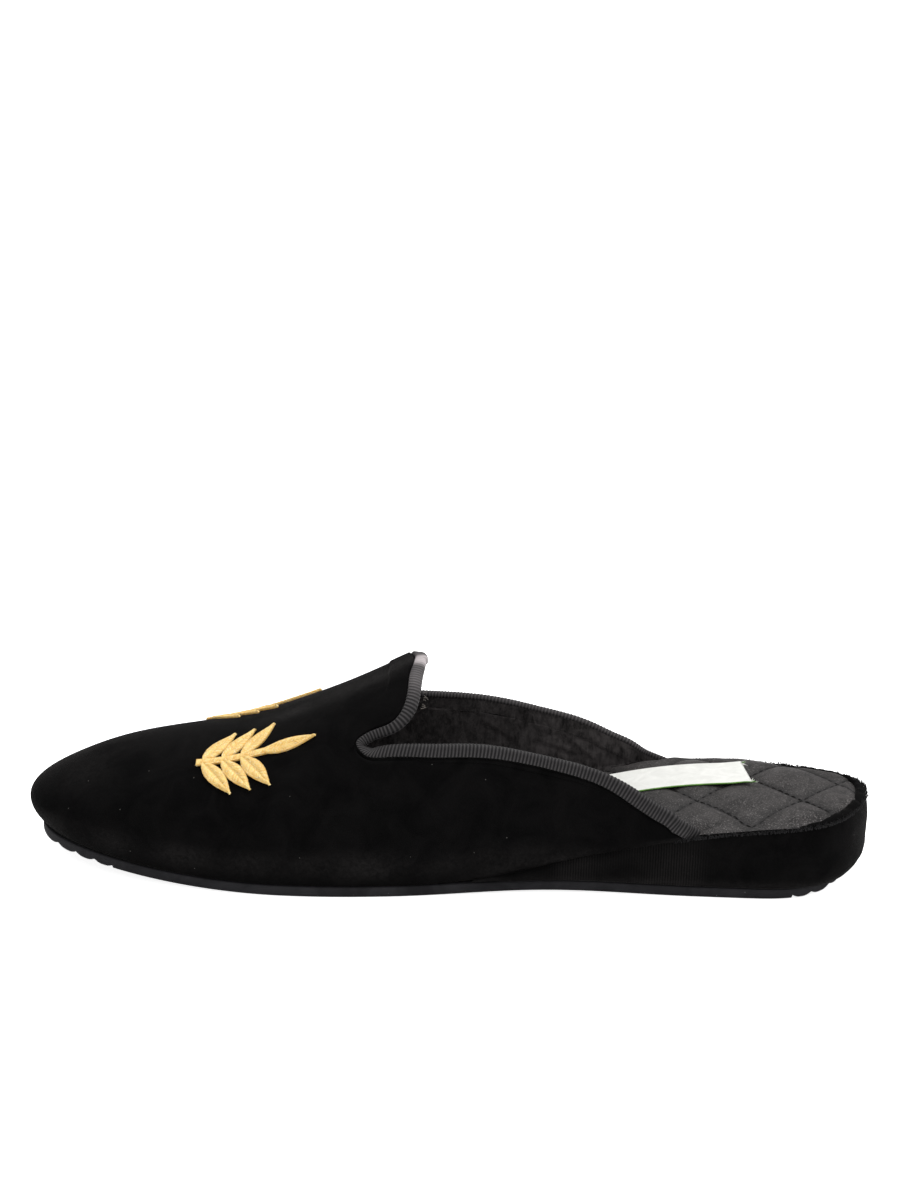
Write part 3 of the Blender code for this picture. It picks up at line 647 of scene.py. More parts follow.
def lining_material():
    material, tree, place = start_material("Brushed lining", 0.18, 0.22, 0.5, (0.72, 0.69, 0.685))
    nap = use_group(tree, NAP, place, Patch=4.2 * MM, Fibre=0.35 * MM)
    drawn_out = {"Vector": place, "Scale": (1.0, 1.0, 0.25)}
    streaks = add_node(tree, "ShaderNodeMapping", drawn_out, vector_type="POINT").outputs[0]
    streaky = use_group(tree, NAP, streaks, Patch=1.6 * MM, Fibre=0.25 * MM)
    share = times(tree, plus(tree, nap["Patches"], streaky["Patches"]), 0.5)
    cloth = mix_colours(tree, share, (0.009, 0.008, 0.008), (0.105, 0.095, 0.095))
    tone = nap["Patches"]
    return finish_material(material, cloth, tone, (0.95, 0.8), nap["Height"], 0.6, 0.3 * MM)


def satin_material():
    material, tree, place = start_material("Black satin", 0.22, 0.08, 0.4, (0.85, 0.8, 0.78))
    nap = use_group(tree, NAP, place, Patch=6 * MM, Fibre=0.45 * MM)
    weave = use_group(tree, WEAVE, place, Thread=0.34 * MM)["Height"]
    glint = use_group(tree, GLINT, place, Size=0.42 * MM, Share=0.44)["Mask"]
    lint = use_group(tree, LINT, place, Spacing=3.4 * MM, Share=0.045)["Mask"]
    tone = nap["Patches"]
    cloth = mix_colours(tree, tone, (0.0075, 0.0064, 0.0063), (0.0275, 0.024, 0.0235))
    cloth = mix_colours(tree, glint, cloth, (0.15, 0.139, 0.136))
    # Painted shade: the sock's groove measure darkens the satin along the quilting lines and in the
    # shadow of the upper.
    cloth = mix_colours(tree, measure(tree, "groove"), cloth, (0.006, 0.0055, 0.0055))
    cloth = mix_colours(tree, lint, cloth, (0.15, 0.145, 0.14))
    height = plus(tree, nap["Height"], times(tree, weave, 0.35))
    return finish_material(material, cloth, tone, (0.62, 0.48), height, 0.35, 0.2 * MM)


def grosgrain_material():
    material, tree, place = start_material("Black grosgrain", 0.2, 0.12, 0.35, (0.85, 0.83, 0.85))
    worn = measure(tree, "worn")
    fibres = noise(tree, place, RIBBON_GRAIN, 2.0, 0.7)["Fac"]
    cord = mix_colours(tree, fibres, (0.037, 0.034, 0.035), (0.072, 0.0665, 0.068))
    # Painted highlight: cords and gaps are made pale grey round the tongue's top, where light falls on
    # the binding.
    cord = mix_colours(tree, worn, cord, (0.51, 0.465, 0.47))
    gap = mix_colours(tree, worn, (0.0035, 0.0032, 0.0035), (0.40, 0.365, 0.37))
    # Painted shade: the gaps between the cords are much darker than the cords.
    cloth = mix_colours(tree, measure(tree, "rib"), gap, cord)
    return finish_material(material, cloth, fibres, (0.5, 0.7), fibres, 0.3, 0.08 * MM)


def rubber_material():
    material, tree, place = start_material("Black rubber", 0.16, 0.03, 0.5)
    nap = use_group(tree, NAP, place, Patch=16 * MM, Fibre=0.5 * MM)
    lint = use_group(tree, LINT, place, Spacing=3.0 * MM, Share=0.05)["Mask"]
    tone = nap["Patches"]
    skin = mix_colours(tree, tone, (0.0105, 0.0101, 0.0118), (0.024, 0.0232, 0.0262))
    skin = mix_colours(tree, lint, skin, (0.12, 0.12, 0.13))
    return finish_material(material, skin, tone, (0.72, 0.55), nap["Height"], 0.3, 0.12 * MM)


def gold_material():
    material, tree, place = start_material("Gold thread", 0.55, 0.45, 0.35, (1.0, 0.88, 0.55))
    glint = use_group(tree, GLINT, place, Size=0.32 * MM, Share=0.5)["Mask"]
    between = use_group(tree, GLINT, place, Size=0.47 * MM, Share=0.3)["Mask"]
    thread = mix_colours(tree, measure(tree, "tone"), (0.86, 0.50, 0.10), (1.0, 0.74, 0.25))
    # Painted shade: darker brown specks where the gaps between the threads lie in shade.
    thread = mix_colours(tree, between, thread, (0.34, 0.16, 0.025))
    thread = mix_colours(tree, glint, thread, (1.0, 0.93, 0.66))
    return finish_material(material, thread, glint, (0.5, 0.3), glint, 0.35, 0.06 * MM)


def tape_material(name, colour, shade):
    material, tree, place = start_material(name, 0.3, 0.15, 0.4)
    weave = use_group(tree, WEAVE, place, Thread=0.26 * MM)["Height"]
    tone = use_group(tree, NAP, place, Patch=5 * MM, Fibre=0.3 * MM)["Patches"]
    cloth = mix_colours(tree, tone, shade, colour)
    return finish_material(material, cloth, tone, (0.7, 0.6), weave, 0.3, 0.05 * MM)


def thread_material(name, dark, light, roughness):
    material, tree, place = start_material(name, 0.25)
    fibres = noise(tree, place, THREAD_GRAIN, 2.0)["Fac"]
    thread = mix_colours(tree, fibres, dark, light)
    rough = roughness, roughness + 0.15
    return finish_material(material, thread, fibres, rough, fibres, 0.4, 0.05 * MM)


# The upper: velvet outside, brushed lining inside

# Rows of its grids along the shoe, and steps up the ribs below and above the notch
VAMP_ROWS, QUARTER_ROWS, TONGUE_ROWS = 81, 111, 31
LOW_STEPS, HIGH_STEPS = 37, 45
SMALLEST_TURN = 1e-4
HEM_START, HEM_RISE = 106.2, 0.75 * MM
LINING_GAP = 0.2 * MM
CREASE_DEPTH = 0.6 * MM
CREASES = (
    # x and z of the start and of the end in mm, side
    (134, 31, 147, 23, 1),
    (158, 29, 171, 19, 1),
    (150, 25, 167, 21, 1),
    (164, 31, 175, 23, 1),
    (128, 34, 141, 23, -1),
    (160, 31, 170, 24, -1),
)


def upper_grids(side):
    """Grids of turn and climb over vamp, tongue and quarter of one side."""
    turn_line, climb_line, places = collar_curve(side)
    names = column(COLLAR, 0)
    notch_row, corner_row = names.index("notch"), names.index("tongue corner")
    notch, corner = places[notch_row], places[corner_row]
    notch_turn, notch_climb = turn_line(notch), climb_line(notch)
    middle = (COLLAR[notch_row][2] + COLLAR[notch_row][4]) / 2
    low_share = np.linspace(0, 1, LOW_STEPS)[None, :] ** 1.2
    high_share = np.linspace(0, 1, HIGH_STEPS)[None, :]

    rows = np.linspace(0, 1, VAMP_ROWS)[:, None]
    split = middle + (notch_climb - middle) * rows
    low = LOWEST_CLIMB + (split - LOWEST_CLIMB) * low_share
    high = split + (1 - split) * high_share
    climbs = np.concatenate([low, high[:, 1:]], axis=1)
    vamp = np.broadcast_to(notch_turn * rows, climbs.shape), climbs

    down = np.linspace(0, 1, QUARTER_ROWS)[:, None] ** 1.25
    edge = notch + (1 - notch) * down
    foot_turn = notch_turn + (turn_line(1.0) - notch_turn) * down
    quarter = (
        foot_turn + (turn_line(edge) - foot_turn) * low_share,
        LOWEST_CLIMB + (climb_line(edge) - LOWEST_CLIMB) * low_share,
    )

    back = np.linspace(0, 1, TONGUE_ROWS)[:, None]
    beside = notch + (corner - notch) * back
    across = corner * (1 - high_share)
    on_ridge = notch_turn + (turn_line(0.0) - notch_turn) * back
    tongue = []
    for line, at_notch, ridge in (
        (turn_line, np.full_like(high_share, notch_turn), on_ridge),
        (climb_line, notch_climb + (1 - notch_climb) * high_share, np.ones_like(back)),
    ):
        sides = line(beside) * (1 - high_share) + ridge * high_share
        ends = at_notch * (1 - back) + line(across) * back
        corners = (
            at_notch[:, :1] * (1 - high_share) * (1 - back)
            + at_notch[:, -1:] * high_share * (1 - back)
            + line(corner) * (1 - high_share) * back
            + ridge[-1:] * high_share * back
        )
        tongue.append(sides + ends - corners)
    return vamp, tuple(tongue), quarter


def make_upper(velvet, lining):
    points, normals, faces, climbs, starts = [], [], [], [], []
    start = 0
    for side in (-1, 1):
        starts.append(start)
        for turns, climb in upper_grids(side):
            turns = np.maximum(turns, SMALLEST_TURN)
            points.append(upper_point(turns, side, climb).reshape(-1, 3))
            normals.append(upper_normal(turns, side, climb).reshape(-1, 3))
            climbs.append(climb.ravel())
            block = grid_faces(*climb.shape, start)
            faces.append(block if side < 0 else block[:, ::-1])
            start += climb.size
    points, normals, climbs = (np.concatenate(part) for part in (points, normals, climbs))
    points[np.abs(points[:, 0]) < 2e-7, 0] = 0
    # Both halves share one line of points over the middle of the toe.
    halves = [np.arange(first, first + LOW_STEPS + HIGH_STEPS - 1) for first in starts]
    for values in (points, normals):
        values[halves[0]] = values[halves[1]] = (values[halves[0]] + values[halves[1]]) / 2
    normals = unit(normals)
    kept, faces = weld(points, np.concatenate(faces))
    points, normals, climbs = points[kept], normals[kept], climbs[kept]

    low_edge = smooth_step(climbs, LOWEST_CLIMB, 0.05)
    swell = 0.16 * MM * ripple(points, 26 * MM, 11) + 0.06 * MM * ripple(points, 9 * MM, 12)
    uneven = points + 0.3 * MM * ripple(points, 5 * MM, 14)[:, None]
    hem = past(uneven, HEM_START, HEM_START + 1.0) * smooth_step(climbs, 0.72, 0.9)
    outer = points + normals * ((swell + HEM_RISE * hem) * low_edge)[:, None]
    wrinkle = 0.3 * MM * ripple(points * [1.0, 0.4, 1.0], 5 * MM, 21)
    inside = WALL + LINING_GAP + wrinkle * low_edge * past(points, 60, 110)
    inner = points - normals * (inside - CREASE_DEPTH * lining_creases(points))[:, None]
    # The turned margin reaches down to the outsole, so no light comes in between them.
    margin = smooth_step(climbs, LOWEST_CLIMB + 0.03, LOWEST_CLIMB) * past(points, 158, 146)
    inner[:, 2] -= MARGIN_DROP * margin
    everything, front, back, strips = thick_shell(outer, inner, faces)
    which = np.concatenate([np.zeros(len(front)), np.ones(len(back)), np.zeros(len(strips))])

    # Painted light: lighter velvet where light grazes the tongue and the toe, and where floor light
    # reaches the lower edge.
    painted_light = 0.9 * smooth_step(climbs, 0.90, 1.0) * past(points, 60, 85)
    painted_light = painted_light + 0.55 * past(points, 34, 6) * smooth_step(climbs, 0.1, 0.6)
    painted_light = painted_light + 0.5 * bell(climbs + 0.04, 0.05) * past(points, 190, 120)
    painted_light = painted_light + 0.55 * smooth_step(climbs, -0.04, -0.10) * past(points, 128, 140)
    painted_light = np.clip(painted_light, 0, 1) * (0.75 + 0.25 * ripple(points, 5 * MM, 5))
    painted_light = np.concatenate([painted_light, np.zeros(len(inner))]).clip(0, 1)
    all_faces = drop_doubles(np.concatenate([front, back, strips]))
    return make_piece(
        "upper_velvet", everything, all_faces, [velvet, lining], which, {"painted_light": painted_light},
        slot="velvet", node="upper",
    )


def lining_creases(points):
    """Height of the lining's few long creases, as lines over the quarters seen from the side."""
    height = np.zeros(len(points))
    for x0, z0, x1, z1, side in CREASES:
        start = np.array([x0, z0]) * MM
        run = np.array([x1, z1]) * MM - start
        reach = np.linalg.norm(run)
        along = (points[:, [0, 2]] - start) @ run / reach
        away = (points[:, [0, 2]] - start) @ np.array([-run[1], run[0]]) / reach
        ends = smooth_step(along, 0, 3 * MM) * smooth_step(along, reach, reach - 3 * MM)
        here = (points[:, 1] * side > 0) * ends
        height += here * (bell(away, 0.8 * MM) - 0.7 * bell(away - 1.4 * MM, MM))
    return height


# The binding

BINDING_EDGE = 0.5 * MM
BINDING_RUN_ON = 9 * MM
BINDING_TOP = 5.0 * MM
FAR_BINDING_LIFT = 0.5 * MM
# How the binding lies at each row of COLLAR. It narrows towards the velvet or towards its top.
BINDING_LIE = (
    # curl into the shoe and slant of the ribs in degrees, share of the width, share to the top
    (14, 0, 0.66, 0.0),
    (26, 0, 0.74, 0.0),
    (36, 0, 0.74, 0.0),
    (40, 4, 0.58, 0.0),
    (36, 6, 0.50, 0.0),
    (34, 4, 0.62, 0.0),
    (22, 22, 0.84, 0.6),
    (10, 18, 0.87, 1.0),
    (4, 11, 0.87, 1.0),
    (0, 5, 0.84, 1.0),
    (0, 0, 0.78, 1.0),
    (0, 0, 0.88, 1.0),
    (0, 0, 1.00, 1.0),
    (0, 0, 1.00, 1.0),
    (0, 0, 1.00, 1.0),
)
BINDING_SECTION = (
    # finish, distance into the opening and rise off the wall's middle in mm
    ("velvet", -0.60, 0.50),
    ("velvet", -0.30, 0.98),
    ("velvet", 0.60, 1.02),
    ("edge", 0.50, 1.00),
    ("ribbed", 0.52, 1.30),
    ("ribbed", 0.90, 1.42),
    ("ribbed", 2.00, 1.46),
    ("ribbed", 3.20, 1.40),
    ("ribbed", 4.10, 1.16),
    ("ribbed", 4.70, 0.72),
    ("ribbed", 5.00, 0.00),
    ("ribbed", 4.80, -0.62),
    ("ribbed", 4.35, -1.05),
    ("ribbed", 4.05, -1.20),
    ("edge", 4.00, -1.02),
    ("lining", 2.20, -1.12),
    ("lining", 0.00, -1.26),
    ("lining", -0.70, -1.15),
)
# Finish of each face round the section
BINDING_FINISHES = ["velvet"] * 2 + ["edge"] + ["ribbed"] * 11 + ["lining"] * 4
STATIONS_PER_RIB = 8
SEAM_PLACES = 900
CUT_REACH = 25 * MM
CUT_BELOW = 0.7 * MM


def soften(values, width):
    """Running mean over a window, with the ends held."""
    kernel = np.hanning(2 * width + 3)
    kernel /= kernel.sum()
    pad = len(kernel) // 2
    held = np.concatenate([np.repeat(values[:1], pad, 0), values, np.repeat(values[-1:], pad, 0)])
    return np.stack([np.convolve(held[:, i], kernel, "valid") for i in range(values.shape[1])], axis=1)


def binding_path(spacing):
    """Evenly spaced frames along the seam, run on into the wedge at both ends.

    Gives the wall's middle, the tangent, the normal, the way into the opening, the distance along
    and the binding's lie: curl, slant, share of the width, where it narrows to, and lift.
    """
    halves = []
    for side in (-1, 1):
        turn_line, climb_line, rows = collar_curve(side)
        places = np.linspace(0, 1, SEAM_PLACES)
        turns, climbs = turn_line(places), np.minimum(climb_line(places), 1)
        points = upper_point(turns, side, climbs)
        normals = upper_normal(turns, side, climbs)
        normals[:, 2] = np.maximum(normals[:, 2], 0)
        normals = unit(normals)
        points = points - normals * WALL / 2
        onward = unit(points[-1] - points[-30]) * BINDING_RUN_ON
        points = np.concatenate([points, [points[-1] + onward]])
        normals = np.concatenate([normals, normals[-1:]])
        lie = np.stack([np.interp(places, rows, column(BINDING_LIE, i)) for i in range(4)], axis=1)
        lie = soften(np.concatenate([lie, lie[-1:]]), 15)
        lie[:, 1] *= side
        lift = np.full((len(points), 1), max(side, 0) * FAR_BINDING_LIFT)
        halves.append(np.concatenate([points, normals, lie, lift], axis=1))
    rows = np.concatenate([halves[0][::-1], halves[1][1:]])
    lengths = np.concatenate([[0], np.cumsum(np.linalg.norm(np.diff(rows[:, :3], axis=0), axis=1))])
    count = round(lengths[-1] / spacing)
    even = np.linspace(0, lengths[-1], count + 1)
    rows = np.stack([np.interp(even, lengths, rows[:, i]) for i in range(rows.shape[1])], axis=1)
    points, normals = rows[:, :3], unit(rows[:, 3:6])
    lie = np.radians(rows[:, 6]), np.tan(np.radians(rows[:, 7])), rows[:, 8], rows[:, 9], rows[:, 10]
    at_ridge = bell(even - even[-1] / 2, 9 * MM)[:, None]
    points = points + (soften(points, int(4 * MM / spacing)) - points) * at_ridge
    far_end = smooth_step(even, even[-1] - 45 * MM, even[-1] - 30 * MM)[:, None]
    points = points + (soften(points, int(7 * MM / spacing)) - points) * far_end
    tangents = unit(np.gradient(points, axis=0))
    inward = soften(unit(np.cross(tangents, normals)), int(3 * MM / spacing))
    inward = unit(inward + (soften(inward, int(7 * MM / spacing)) - inward) * far_end)
    normals = unit(np.cross(inward, tangents))
    return points, tangents, normals, inward, even, lie


def curled(across, rise, curl):
    """A point of the binding's section after the curl: distance into the opening and rise."""
    curl = curl * smooth_step(across, BINDING_EDGE, BINDING_EDGE + 1.6 * MM)
    out = across - BINDING_EDGE
    return (
        BINDING_EDGE + out * np.cos(curl) + rise * np.sin(curl),
        rise * np.cos(curl) - out * np.sin(curl),
    )


def make_binding(grosgrain, velvet, lining):
    points, tangents, normals, inward, even, lie = binding_path(RIB_PITCH / STATIONS_PER_RIB)
    curls, slants, widths, to_top, lifts = (part[:, None] for part in lie)
    stations, count = len(points), len(BINDING_SECTION)
    section = np.array([row[1:] for row in BINDING_SECTION]) * MM
    ribbed = np.array([row[0] == "ribbed" for row in BINDING_SECTION])
    around = np.roll(section, -1, axis=0) - np.roll(section, 1, axis=0)
    outward = unit(np.stack([around[:, 1], -around[:, 0]], axis=1))

    crest = np.abs(np.sin(np.pi * np.arange(stations) / STATIONS_PER_RIB)) ** 1.6
    wobble = 1 + 0.2 * ripple(points, 2.2 * MM, 31)
    raised = RIB_DEPTH * (crest * wobble - 0.55) + 0.06 * MM * ripple(points, 6 * MM, 33)
    flat = section + outward * (ribbed[:, None] * raised[:, None, None])
    from_end = np.minimum(even, even[-1] - even) - BINDING_RUN_ON
    slim = 1 - 0.35 * smooth_step(from_end, 6 * MM, 0)[:, None]
    across, outer_leg = flat[..., 0], (section[:, 1] > 0.5 * MM) & (section[:, 0] > 0)
    low = BINDING_EDGE + (across - BINDING_EDGE) * np.where(across > BINDING_EDGE, widths, 1)
    high = np.where(outer_leg, BINDING_TOP - (BINDING_TOP - across) * widths, across)
    across = low + (high - low) * to_top
    sheared = slants * (across - BINDING_TOP / 2) * outer_leg
    across, rise = curled(across + lifts * ribbed, flat[..., 1] * slim, curls)
    loops = points[:, None] + inward[:, None] * across[..., None] + normals[:, None] * rise[..., None]
    loops = loops + tangents[:, None] * sheared[..., None]

    # Painted highlight: the binding is made paler round the tongue's top, where light falls on it, and
    # slightly paler on the far side.
    from_top = np.abs(even - even[-1] / 2)
    worn = 0.85 * smooth_step(from_top, 4.5 * MM, 1.5 * MM)
    worn += 0.15 * smooth_step(from_top, 20 * MM, 9 * MM)
    worn = worn * (0.85 + 0.15 * ripple(points, 2 * MM, 35)) + 0.05 * (points[:, 1] > 10 * MM)
    rib = np.repeat(smooth_step(crest, 0.3, 1.0)[:, None], count, 1)
    # Painted shade: the cords are darker on the part of the section that reaches farthest into the
    # opening.
    lower = 0.75 + 0.25 * smooth_step(section[:, 0], 3.6 * MM, 1.5 * MM)
    measures = {
        "rib": (rib * np.where(ribbed, lower, 0.5)).ravel(),
        "worn": np.repeat(worn.clip(0, 1)[:, None], count, 1).ravel(),
    }
    kinds = [{"velvet": 1, "lining": 2}.get(name, 0) for name in BINDING_FINISHES]
    which = np.append(np.tile(kinds, stations - 1), [0, 0])
    piece = make_piece(
        "grosgrain_binding", *capped(loops), [grosgrain, velvet, lining], which, measures,
        slot="grosgrain", node="binding",
    )
    for end in (points[0], points[-1]):
        cut_at_wedge(piece, end)
    return piece


def cut_at_wedge(piece, end):
    """Trims that end of the binding flush with the top of the wedge."""
    side = -1 if end[1] < 0 else 1
    x = end[0]
    slope = float(base_height(x + MM, side) - base_height(x - MM, side)) / (2 * MM)
    foot = np.array([x, end[1], float(base_height(x, side)) - CUT_BELOW]) + SHOE_AT
    middle = Vector(end + SHOE_AT)
    edit = bmesh.new()
    edit.from_mesh(piece.data)
    near = [face for face in edit.faces if (face.calc_center_median() - middle).length < CUT_REACH]
    # A dictionary keeps the parts in one order, so the mesh comes out the same in each run.
    parts = dict.fromkeys(item for face in near for item in (face, *face.edges, *face.verts))
    cut = bmesh.ops.bisect_plane(
        edit, geom=list(parts), dist=1e-6, plane_co=foot, plane_no=(-slope, 0, 1), clear_inner=True
    )
    rim = [item for item in cut["geom_cut"] if isinstance(item, bmesh.types.BMEdge)]
    bmesh.ops.holes_fill(edit, edges=rim, sides=0)
    edit.to_mesh(piece.data)
    edit.free()


# The sock

SOCK_TURNS = np.linspace(0.1, math.pi - 0.05, 300)
SOCK_COLUMNS = 96
# Places over which the sock's height is looked up, along the shoe and across it
MAP_ROWS, MAP_COLUMNS = 220, 80
STITCHED = (60 * MM, 249 * MM)
CRUMPLE = 0.28 * MM
STITCH_THREAD = (
    # height over the satin and radius in mm, along one stitch
    (-0.12, 0.08),
    (0.10, 0.15),
    (0.14, 0.17),
    (0.10, 0.15),
    (-0.12, 0.08),
)


def upper_end(side):
    return COLLAR[-1][1 if side < 0 else 3] + 0.6 * BINDING_WIDTH / LENGTH


def sock_inset(turn, side):
    along = along_at(turn)
    inside = TUCK * tuck(along) + WALL - 2 * CLEARANCE
    outside = WRAP_INSET + CLEARANCE
    behind = smooth_step(along, upper_end(side), upper_end(side) + SOCK_STEP)
    return inside + (outside - inside) * behind


def quilt(x, y):
    """Puff of the quilting between 0 on a line of stitches and 1, and the distance to a line."""
    waves, distances = [], []
    for way, lines in zip(QUILT_WAYS, QUILT_LINES):
        away = (x + SHOE_AT[0]) * way[0] + (y + SHOE_AT[1]) * way[1]
        waves.append(np.abs(np.sin(np.pi * np.interp(away, lines, np.arange(len(lines))))))
        distances.append(np.abs(away[..., None] - lines).min(axis=-1))
    return (waves[0] * waves[1]) ** 0.38, np.minimum(*distances)


def sock_section(turn, shares):
    """Places and heights across the sock: underside and top, from the medial to the lateral edge."""
    medial = inner_line(turn, -1, sock_inset(turn, -1))
    lateral = inner_line(turn, 1, sock_inset(turn, 1))
    x = medial[0] + (lateral[0] - medial[0]) * shares
    y = medial[1] + (lateral[1] - medial[1]) * shares
    low = base_height(x, -1)
    bottom = low + (base_height(x, 1) - low) * shares + CLEARANCE
    square = 5 + 9 * smooth_step(x, 205 * MM, 185 * MM)
    pad = SOCK_PAD * (1 - np.abs(2 * shares - 1) ** square) * math.sin(turn) ** 0.5
    puff, near = quilt(x, y)
    width = np.hypot(lateral[0] - medial[0], lateral[1] - medial[1])
    from_edge = np.minimum(shares, 1 - shares) * width
    edge = smooth_step(from_edge, 0, 5 * MM)
    places = np.stack([x, y, np.zeros_like(x)], axis=-1)
    crumple = ripple(places * [1.0, 0.25, 1.0], 3.2 * MM, 43) * bell(from_edge, 7 * MM)
    rim = np.minimum(from_edge, LENGTH - WRAP_INSET - x)
    fall = smooth_step(x, 218 * MM, 238 * MM) * smooth_step(rim, 5.5 * MM, 0.5 * MM)
    swell = (QUILT_PUFF * (puff - 0.75) + CRUMPLE * crumple) * edge
    top = bottom + (SOCK_EDGE + pad + swell) * (1 - 0.85 * fall)
    return x, y, bottom, top, near


def make_sock(satin):
    shares = (1 - np.cos(np.pi * np.linspace(0, 1, SOCK_COLUMNS))) / 2
    few = shares[::-19][:-1]
    loops, painted_shades = [], []
    for turn in SOCK_TURNS:
        x, y, _, top, near = sock_section(turn, shares)
        under = sock_section(turn, few)
        loops.append(np.concatenate([np.stack([x, y, top], axis=1), np.stack(under[:3], axis=1)]))
        # Painted shade: the satin is darkened along the quilting lines and towards the front, in the
        # shadow of the upper.
        dark = bell(near, 0.5 * MM) + 0.4 * bell(near, 2.2 * MM)
        dark += 0.35 * smooth_step(x, 205 * MM, 180 * MM)
        painted_shades.append(np.concatenate([dark.clip(0, 1), np.zeros(len(few))]))
    loops = np.stack(loops)
    swell = 0.12 * MM * ripple(loops, 6 * MM, 41)
    loops[:, : len(shares), 2] += swell[:, : len(shares)]
    piece = make_piece(
        "quilted_sock_satin", *capped(loops, flipped=True), [satin],
        measures={"groove": np.concatenate(painted_shades) * 0.8}, slot="satin", node="quilted_sock",
    )
    return piece


class SockTop:
    """Height of the sock's top for places seen from above."""

    def __init__(self):
        shares = np.linspace(0, 1, MAP_COLUMNS)
        rows = [sock_section(turn, shares) for turn in np.linspace(0.3, math.pi - 0.05, MAP_ROWS)]
        self.x = np.array([row[0].mean() for row in rows])
        self.y = np.stack([row[1] for row in rows])
        self.top = np.stack([row[3] for row in rows])

    def __call__(self, x, y):
        place = np.interp(x, self.x, np.arange(len(self.x)))
        low = np.clip(place.astype(int), 0, len(self.x) - 2)
        share = place - low
        heights = []
        for row in (low, low + 1):
            heights.append([np.interp(y[i], self.y[r], self.top[r]) for i, r in enumerate(row)])
        return np.array(heights[0]) * (1 - share) + np.array(heights[1]) * share

    def covers(self, x, y, margin):
        row = np.clip(np.interp(x, self.x, np.arange(len(self.x))).astype(int), 0, len(self.x) - 1)
        return (y > self.y[row, 0] + margin) & (y < self.y[row, -1] - margin)


def make_quilt_stitches(sock_top, thread):
    """Lock stitches along both families of quilting lines."""
    rng = np.random.default_rng(51)
    paths = []
    for way, lines in zip(QUILT_WAYS, QUILT_LINES):
        run = np.array([-way[1], way[0]]) / np.linalg.norm(way)
        for line in lines:
            for step in np.arange(-150 * MM, 150 * MM, STITCH + STITCH_GAP):
                ends = np.linspace(step, step + STITCH, len(STITCH_THREAD))
                flat = way * line + run * ends[:, None]
                flat = flat - SHOE_AT[:2] + way * rng.normal(0, 0.09 * MM)
                within = flat[:, 0].min() >= STITCHED[0] and flat[:, 0].max() <= STITCHED[1]
                if within and sock_top.covers(flat[:, 0], flat[:, 1], 1.2 * MM).all():
                    paths.append(flat)
    lifts, radii = (np.array(column(STITCH_THREAD, i)) * MM for i in (0, 1))
    flat = np.array(paths).reshape(-1, 2)
    heights = sock_top(flat[:, 0], flat[:, 1]) + np.tile(lifts, len(paths))
    paths = np.concatenate([flat, heights[:, None]], axis=1).reshape(len(paths), -1, 3)
    points, faces = tubes(paths, radii)
    return make_piece("quilting_stitches", points, faces, [thread], slot="satin")


# The heel wedge

WEDGE_STATIONS, WEDGE_ROWS = 420, 30
WRAP_THICKNESS = 2.2 * MM
FRONT_TUCK = 1.8 * MM
TUCK_LATERAL, TUCK_MEDIAL, TUCK_END = 156 * MM, 149 * MM, 136 * MM
ROLL = (
    # row of the wall from its top, way inwards and rise in mm
    (-3, 0.15, -0.1),
    (-2, 0.7, 0.85),
    (-1, 2.1, 1.2),
)


def wedge_path(count):
    """Signed turns from the medial front of the wedge round the heel to the lateral front."""
    front = float(turn_at(WEDGE_FRONT))
    turns = np.linspace(front, 2 * math.pi - front, count)
    side = np.where(turns <= math.pi, -1, 1)
    return np.where(turns <= math.pi, turns, 2 * math.pi - turns), side


def make_wedge(velvet):
    turns, sides = wedge_path(WEDGE_STATIONS)
    shares = np.linspace(0, 1, WEDGE_ROWS)
    outer, inner, rolls = [], [], []
    for turn, side in zip(turns, sides):
        turn = min(turn, math.pi - 1e-3)
        x_edge = LENGTH * along_at(turn)
        low = float(sole_top(x_edge)) + CLEARANCE
        high = float(base_height(x_edge, side)) + 0.5 * MM
        tucked_from = TUCK_LATERAL if side > 0 else TUCK_MEDIAL
        front = float(smooth_step(x_edge, tucked_from, TUCK_END))
        inset = wedge_inset(shares) * WRAP_INSET + FRONT_TUCK * front
        for wall, thickness in ((outer, 0), (inner, WRAP_THICKNESS)):
            x, y = inner_line(turn, side, inset + thickness)
            wall.append(np.stack([x, y, low + (high - low) * shares], axis=1))
        rolled = float(smooth_step(x_edge, 222 * MM, 243 * MM))
        rolls.append(rolled)
        for row, across, rise in ROLL:
            outer[-1][row, :2] = inner_line(turn, side, inset[row] + across * MM * rolled)
            outer[-1][row, 2] += (high + rise * MM - outer[-1][row, 2]) * rolled
        x, y = inner_line(turn, side, inset[-1] + WRAP_THICKNESS + 0.5 * MM * rolled)
        inner[-1][-1] = x, y, high + 0.3 * MM * rolled
    outer, inner = np.stack(outer), np.stack(inner)
    away = unit(outer - inner)
    rough = 0.10 * MM * ripple(outer, 8 * MM, 61) + 0.05 * MM * ripple(outer, 2 * MM, 62)
    behind = smooth_step(shares[None, :], 0.8, 1.0) * past(outer, 195, 205)
    behind = behind * (1 - 0.75 * np.array(rolls))[:, None]
    pile = 0.35 * MM * behind * (0.6 + 0.4 * ripple(outer, 0.9 * MM, 63))
    outer = outer + away * (rough + pile)[..., None]
    outer[..., 2] += 0.5 * MM * behind * ripple(outer, 1.1 * MM, 64)
    points, faces = capped(np.concatenate([outer, inner[:, ::-1]], axis=1))
    combed = past(points, 150, 165) * past(points, 206, 196) * (points[:, 1] < 0)
    combed = combed * np.clip(0.6 + 0.4 * ripple(points, 7 * MM, 65), 0, 1)
    # Painted light: the wedge's velvet is lighter towards the bottom, where light from the floor falls
    # on it.
    painted_light = 0.35 * smooth_step(points[:, 2], 7.5 * MM, 4.5 * MM)
    return make_piece(
        "wedge_velvet", points, faces, [velvet], measures={"painted_light": painted_light, "combed": combed},
        slot="velvet", node="heel_wedge",
    )


PILE_COUNT = 1500
PILE_FROM = 0.765
PILE_TALL = (0.5, 1.4)
PILE_RADII = np.array([0.13, 0.10, 0.03]) * MM


